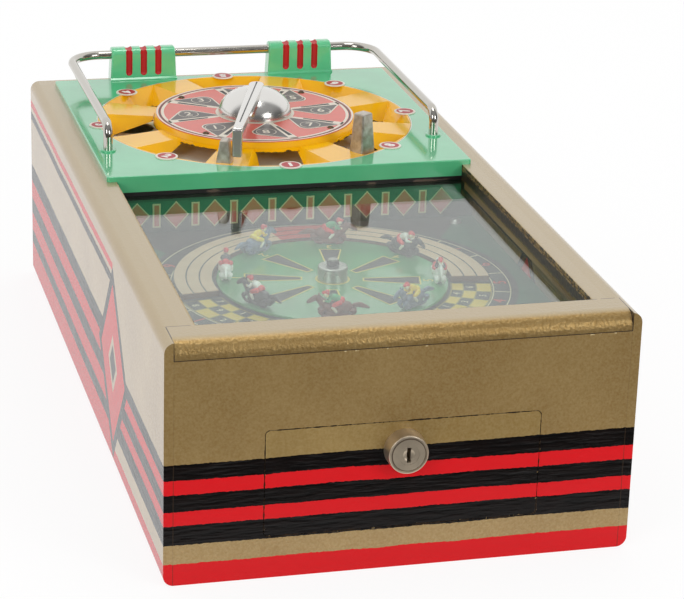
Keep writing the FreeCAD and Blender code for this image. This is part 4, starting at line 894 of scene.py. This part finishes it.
def bracket_finish(name):
    """Green enamel, red wherever the surface lies on a flute's round bottom."""
    low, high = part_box(name)
    bracket = enamel(name + "_enamel", bracket_green, enamel_green)
    face_y = low.y + bracket_foot
    x, y, z = axes(bracket.place(centre=((low.x + high.x) / 2, 0, 0)))
    offset = calc("PINGPONG", x + flute_pitch * 6, flute_pitch / 2)
    under = calc("MINIMUM", z - (plate_top + flute_foot + flute_radius), 0.0)
    upright = slant(slant(offset, under), y - (face_y - flute_radius + flute_depth))
    across = slant(offset, z - (high.z + flute_radius - flute_depth))
    upright = close_to(upright, flute_radius, flute_tolerance) * (y > face_y + flute_edge)
    across = close_to(across, flute_radius, flute_tolerance) * (z < high.z - flute_edge)
    red = either(upright, across) * (abs(x) < flute_pitch * 1.4)
    bracket.lay_over(red, enamel_red)
    bracket.set("Coat Weight", between(red, enamel_coat, 0.0))
    bracket.set("Roughness", between(red, enamel_roughness, flute_roughness))
    return bracket


def plate_finish():
    """Green enamel with a cream line round the opening of the coin ring: worn paint, and a painted
    highlight on the opening's edge.
    """
    plate = enamel("green_enamel", enamel_green, enamel_deep)
    low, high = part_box("coin_ring")
    centre = middle("coin_ring")
    x, y, z = axes(plate.place(centre=centre))
    line = slant(x, y) < (high.x - low.x) / 2 + plate_line
    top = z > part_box("top_plate")[1].z - centre.z - 1.6 * mm
    # Cream line on the opening's edge: partly worn paint, partly a painted highlight.
    plate.lay_over(line * top, worn_and_lit_cream)
    return plate


dress(["top_plate"], plate_finish())
for name in ("left_bracket", "right_bracket"):
    dress([name], bracket_finish(name))


# Coin ring: eight funnel pockets round the raised hub of the dial.
# One iron casting in yellow enamel, chipped along the lower edge of the hub.
enamel_yellow, enamel_amber, bare_casting = (255, 196, 8), (250, 186, 10), (70, 52, 34)
hub_centre = middle("dial_plate")
hub_foot, hub_reach, pocket_foot = -2.8 * mm, 73 * mm, -11.6 * mm


def coin_ring_finish():
    """Yellow enamel, dark where it has chipped off at the hub's foot and pocket rims."""
    ring = Finish("yellow_enamel", enamel_yellow, 0.14)
    where = ring.place(centre=(hub_centre.x, hub_centre.y, plate_top))
    x, y, z = axes(where)
    paint = mixed(cloud(where, 26.0, 4.0), enamel_yellow, enamel_amber)
    ragged = cloud(where, 260.0, 4.0, hub_foot - 0.5 * mm, hub_foot + 1.4 * mm)
    foot = (z > hub_foot - 0.2 * mm) * (z < ragged) * (slant(x, y) < hub_reach)
    low = (z < pocket_foot) * (cloud(where, 330.0, 5.0) > 0.6)
    ring.set("Base Color", mixed(either(foot, low), paint, bare_casting))
    ring.set("Coat Weight", 0.25)
    ring.set("Coat Roughness", 0.04)
    ring.relief(cloud(where, 200.0), 0.12, 0.12 * mm)
    return ring


dress(["coin_ring"], coin_ring_finish())


# Number badges: the raised rounds on the rim that name the pockets, 1 to 8.
# Stamped brass, enamelled red inside a cream rim, with a white figure.
badge_circle, badge_radius, badge_rim = 109.5 * mm, 7.6 * mm, 1.5 * mm
badge_figure, badge_figure_weight = 9.6 * mm, 0.06
round_turn = np.linspace(0, 360, 40, endpoint=False)


def badge_figures():
    """A cream rim, a red field and a figure on each badge, its head towards the dial."""
    skin = Skin()
    layer = layers(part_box("number_badges")[1].z)
    cream, red, white = (ink("badge_cream", (238, 230, 214), 0.25),
                         ink("badge_red", (180, 16, 30), 0.35), ink("badge_white", (244, 240, 232)))
    for k in range(8):
        x, y = from_front(badge_circle, 45 * k, hub_centre)
        skin.slab(from_front(badge_radius - badge_rim, round_turn, Vector((x, y))),
                  layer[0], layer[1], red)
        digits(str(k + 1), badge_figure, x, y, layer[1], layer[2], white, skin,
               -math.radians(45 * k), badge_figure_weight)
    dress(["number_badges"], cream)
    return skin.make("badge_figures", "cabinet", "badge_paint", smooth=False)


badge_figures()


# Dial: the printed plate on the hub that pairs each number with a pocket.
# Lithographed tin, red with black picks and plain cream figures, held by four screws.
dial_red = (224, 108, 94)
dial_dome = 25.8 * mm
bar_offset, bar_inner, bar_outer = -12.5, 36 * mm, 58 * mm
bar_angles, strip_angles, strip_inset = (-1.2, 1.6), (-2.1, 3.0), 4 * mm
pick_corners = ((27 * mm, 6.0, 0.5 * mm), (62 * mm, 4.0, 0.5 * mm), (47 * mm, 19.0, 6 * mm))
figure_radius, figure_circle, figure_size = 47 * mm, 6.6 * mm, 11 * mm


def hull(points):
    """Convex outline round some (x, y) points, counter-clockwise."""
    points = points[np.lexsort((points[:, 1], points[:, 0]))]
    half = []
    for line in (points, points[::-1]):
        chain = []
        for p in line:
            while len(chain) > 1 and np.cross(chain[-1] - chain[-2], p - chain[-2]) <= 0:
                chain.pop()
            chain.append(p)
        half += chain[:-1]
    return np.array(half)


def dial_print():
    """Eight black picks in cream outline, the bars between them, figures and the rim."""
    skin = Skin()
    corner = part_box("dial_plate")[1]
    rim, layer = corner.x, layers(corner.z)
    black, cream = ink("dial_black", (20, 17, 15), 0.4), ink("dial_cream", (232, 222, 204), 0.3)
    grey = ink("dial_grey", (84, 76, 72), 0.3)
    for inner, outer, low, finish in ((rim - 1.4 * mm, rim - 0.1 * mm, 0, cream),
                                      (rim - 3.0 * mm, rim - 1.9 * mm, 0, black),
                                      (rim - 5.4 * mm, rim - 3.4 * mm, 0, cream),
                                      (dial_dome - 1 * mm, dial_dome + 1.8 * mm, 3, cream)):
        skin.ring(inner, outer, layer[low], layer[low + 1], hub_centre, finish)
    for k in range(8):
        side = 45 * k + bar_offset
        start, end = (side + angle for angle in strip_angles)
        strip = sector(dial_dome, rim - strip_inset, start, end, hub_centre)
        skin.slab(strip, layer[0], layer[1], cream)
        start, end = (side + angle for angle in bar_angles)
        bar = sector(bar_inner, bar_outer, start, end, hub_centre)
        skin.slab(bar, layer[1], layer[2], black)
        for grow, low, finish in ((1.0 * mm, 1, cream), (0.0, 2, grey)):
            rounds = [from_front(radius, side + turn, hub_centre)
                      + from_front(corner_round + grow, round_turn, Vector())
                      for radius, turn, corner_round in pick_corners]
            skin.slab(hull(np.concatenate(rounds)), layer[low], layer[low + 1], finish)
        x, y = from_front(figure_radius, 45 * k + 3.0, hub_centre)
        for grow, low, finish in ((0.5 * mm, 3, cream), (0.0, 4, grey)):
            disc = from_front(figure_circle + grow, round_turn, Vector((x, y)))
            skin.slab(disc, layer[low], layer[low + 1], finish)
        digits(str((k + 7) % 8 + 1), figure_size, x, y, layer[5], layer[6], cream, skin)
    return skin.make("dial_print", "cabinet", "printed_metal", smooth=False)


dress(["dial_plate"], ink("dial_red", dial_red, 0.25))
dress(["dial_screws"], machined("browned_steel", (104, 84, 66), 0.34))
dial_print()


# Knob and guard rail: the domed knob with its lever, and the bent rod round the coin head.
# The knob is a zinc casting and the rail steel rod, both chromium plated and worn; the knob's
# pointer groove is painted dark as shade, and the face of its tab a flat grey as a painted sheen.
# The groove's dark line is painted shade; the tab's grey is a painted sheen.
groove_half, groove_front, groove_rear, groove_shade = 0.45 * mm, 14 * mm, -10 * mm, (30, 28, 26)
tab_skin, tab_start, tab_sheen_grey = 0.4 * mm, 2.4 * mm, (168, 168, 162)


def knob_finish():
    """Worn chromium with a dark line of painted shade down the middle of the lever, and a grey
    painted sheen on the tab's face.
    """
    knob = plated("knob_plate", (224, 222, 218), 0.17, 0.08)
    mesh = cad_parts["handle_knob"].data
    points = np.array([v.co for v in mesh.vertices]) - np.array(hub_centre)
    reach = np.hypot(points[:, 0], points[:, 1])
    tip, top = reach.max(), points[:, 2].max()
    tab = points[reach > tip - 4 * mm].mean(axis=0)
    aim = tab[:2] / np.hypot(*tab[:2])
    x, y, z = axes(knob.place(centre=hub_centre))
    along = x * aim[0] + y * aim[1]
    across = x * aim[1] + y * -aim[0]
    groove = close_to(along, (tip - groove_front + groove_rear) / 2,
                      (tip - groove_front - groove_rear) / 2)
    groove = close_to(across, 0.0, groove_half) * groove * (z > top - 1 * mm)
    # Painted shade: the dark line along the pointer groove.
    knob.lay_over(groove, groove_shade)
    # Painted sheen: the tab's face turns a flat, half-metal grey, lighter than the chrome would
    # look.
    knob.lay_over((along > tip - tab_skin) * (z < top - tab_start), tab_sheen_grey, 0.5)
    return knob


dress(["handle_knob"], knob_finish())
dress(["guard_rail"], plated("rail_plate", (196, 192, 184), 0.08, 0.08))


# Stop pegs: the two posts that the lever swings between.
# Rough iron castings, ground bright on the corners and left grey.
def cast_finish():
    """Grey cast iron with a sandy skin."""
    iron = Finish("grey_iron", (168, 164, 156), 0.32, 0.75)
    stain = cloud(iron.place(), 260.0, 4.0)
    iron.set("Base Color", mixed(stain, (208, 202, 194), (166, 154, 138)))
    iron.relief(cloud(iron.place(), 520.0, 3.0), 0.4, 0.2 * mm)
    return iron


dress(["left_stop_peg", "right_stop_peg"], cast_finish())


# Cash drawer lock: a cam lock in the middle of the drawer front.
# Brass barrel in brushed nickel, with a turning plug; the ring groove is painted dark as shade.
lock_groove, lock_groove_half, lock_face_depth = 9.9 * mm, 0.3 * mm, 0.7 * mm
# The groove colour is painted shade.
nickel_colour, nickel_groove_shade = (226, 209, 184), (92, 76, 60)


def lock_finish():
    """Brushed nickel, with painted shade in the groove round the face."""
    nickel = machined("brushed_nickel", nickel_colour, 0.34, (900.0, 40.0, 40.0))
    nickel.set("Metallic", 0.88)
    centre = middle("lock_plug")
    x, y, z = axes(nickel.place(centre=centre))
    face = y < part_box("lock_body")[0].y + lock_face_depth - centre.y
    # Painted shade: a dark ring in the groove round the face.
    nickel.lay_over(close_to(slant(x, z), lock_groove, lock_groove_half) * face, nickel_groove_shade)
    return nickel


dress(["lock_body", "lock_plug"], lock_finish())


# Studio: a plain white table and backdrop under soft light, and the camera.
# The lens and place come from the cabinet's straight edges in the reference view.
camera_place = (-0.3870, -1.5639, 0.6756)
camera_yaw, camera_pitch, camera_roll = -14.97, -20.66, -1.79
camera_lens, camera_sensor = 135.95, 36.0
room_light, dim_low, dim_high, dim_floor = 0.62, 0.12, 0.36, 0.08
floor_half, floor_glow, glow_share = 4.0, 1.03, 0.85
lamp_aim = Vector((0.0, -0.1, 0.08))


def seen_and_mirror(tree):
    """Camera rays, and the rays of gloss and glass together."""
    seen, glossy, through = rays(tree, "Camera", "Glossy", "Transmission")
    return seen, either(glossy, through)


def studio_room():
    """Pale room; gloss and glass see it white at the back and dim towards the front."""
    world = bpy.data.worlds.new("pale_room")
    bpy.context.scene.world = world
    world.use_nodes = True
    shade = world.node_tree.nodes["Background"]
    x, y, z = axes(coordinates(world.node_tree, "Generated"))
    seen, mirror = seen_and_mirror(world.node_tree)
    front = between(step_down(z, 0.2, 0.8), dim_high, dim_low)
    white = between(step_down(y, -0.1, 0.15), 1.0, front)
    level = between(mirror, room_light, white)
    feed(shade.inputs["Strength"], between(seen, level, 1.0))
    feed(shade.inputs["Color"], (255, 255, 255))


def table_top():
    """White table that keeps a soft shadow of the game, dim in gloss in front of it."""
    mesh = bpy.data.meshes.new("table_top")
    rim = np.array([[-1, -1], [1, -1], [1, 1], [-1, 1]]) * floor_half
    mesh.from_pydata([(x, y, -0.1 * mm) for x, y in rim], [], [(0, 1, 2, 3)])
    table = bpy.data.objects.new("table_top", mesh)
    bpy.context.scene.collection.objects.link(table)
    white = Finish("white_table", (248, 248, 248), 0.9)
    x, y, z = axes(white.place())
    seen, mirror = seen_and_mirror(white.tree)
    strength = between(mirror * step_down(y, -0.42, -0.30), floor_glow, dim_floor)
    glow = add_node(white.tree, "Emission", {"Strength": strength})
    white.mix_with(glow, seen * glow_share + mirror)
    mesh.materials.append(white.material)


def soft_lamp(name, place_at, size, watts, diffuse=True, gloss=True):
    """A large square lamp turned to the game, which lights its paint, its gloss or both."""
    light = bpy.data.lights.new(name, "AREA")
    light.size, light.energy = size, watts
    lamp = bpy.data.objects.new(name, light)
    lamp.location = place_at
    lamp.rotation_euler = (lamp_aim - lamp.location).to_track_quat("-Z", "Y").to_euler()
    lamp.visible_diffuse, lamp.visible_glossy = diffuse, gloss
    bpy.context.scene.collection.objects.link(lamp)


def set_camera():
    """Camera at the reference view's place, turned, tilted and rolled as there."""
    data = bpy.data.cameras.new("camera")
    data.lens, data.sensor_width = camera_lens, camera_sensor
    camera = bpy.data.objects.new("camera", data)
    turn = (Matrix.Rotation(math.radians(camera_yaw), 4, "Z")
            @ Matrix.Rotation(math.radians(camera_pitch), 4, "X")
            @ Matrix.Rotation(math.radians(camera_roll), 4, "Y")
            @ Matrix.Rotation(math.radians(90), 4, "X"))
    camera.matrix_world = Matrix.Translation(camera_place) @ turn
    bpy.context.scene.collection.objects.link(camera)
    bpy.context.scene.camera = camera


bpy.context.scene.view_settings.view_transform = "Standard"
studio_room()
table_top()
soft_lamp("overhead_lamp", (0.1, 0.9, 1.7), 2.2, 9, gloss=False)
soft_lamp("edge_lamp", (0.0, -0.1, 1.7), 0.5, 5, diffuse=False)
soft_lamp("left_lamp", (-1.5, -1.5, 1.0), 0.8, 9)
soft_lamp("right_lamp", (1.1, -1.9, 0.9), 0.8, 11)
set_camera()
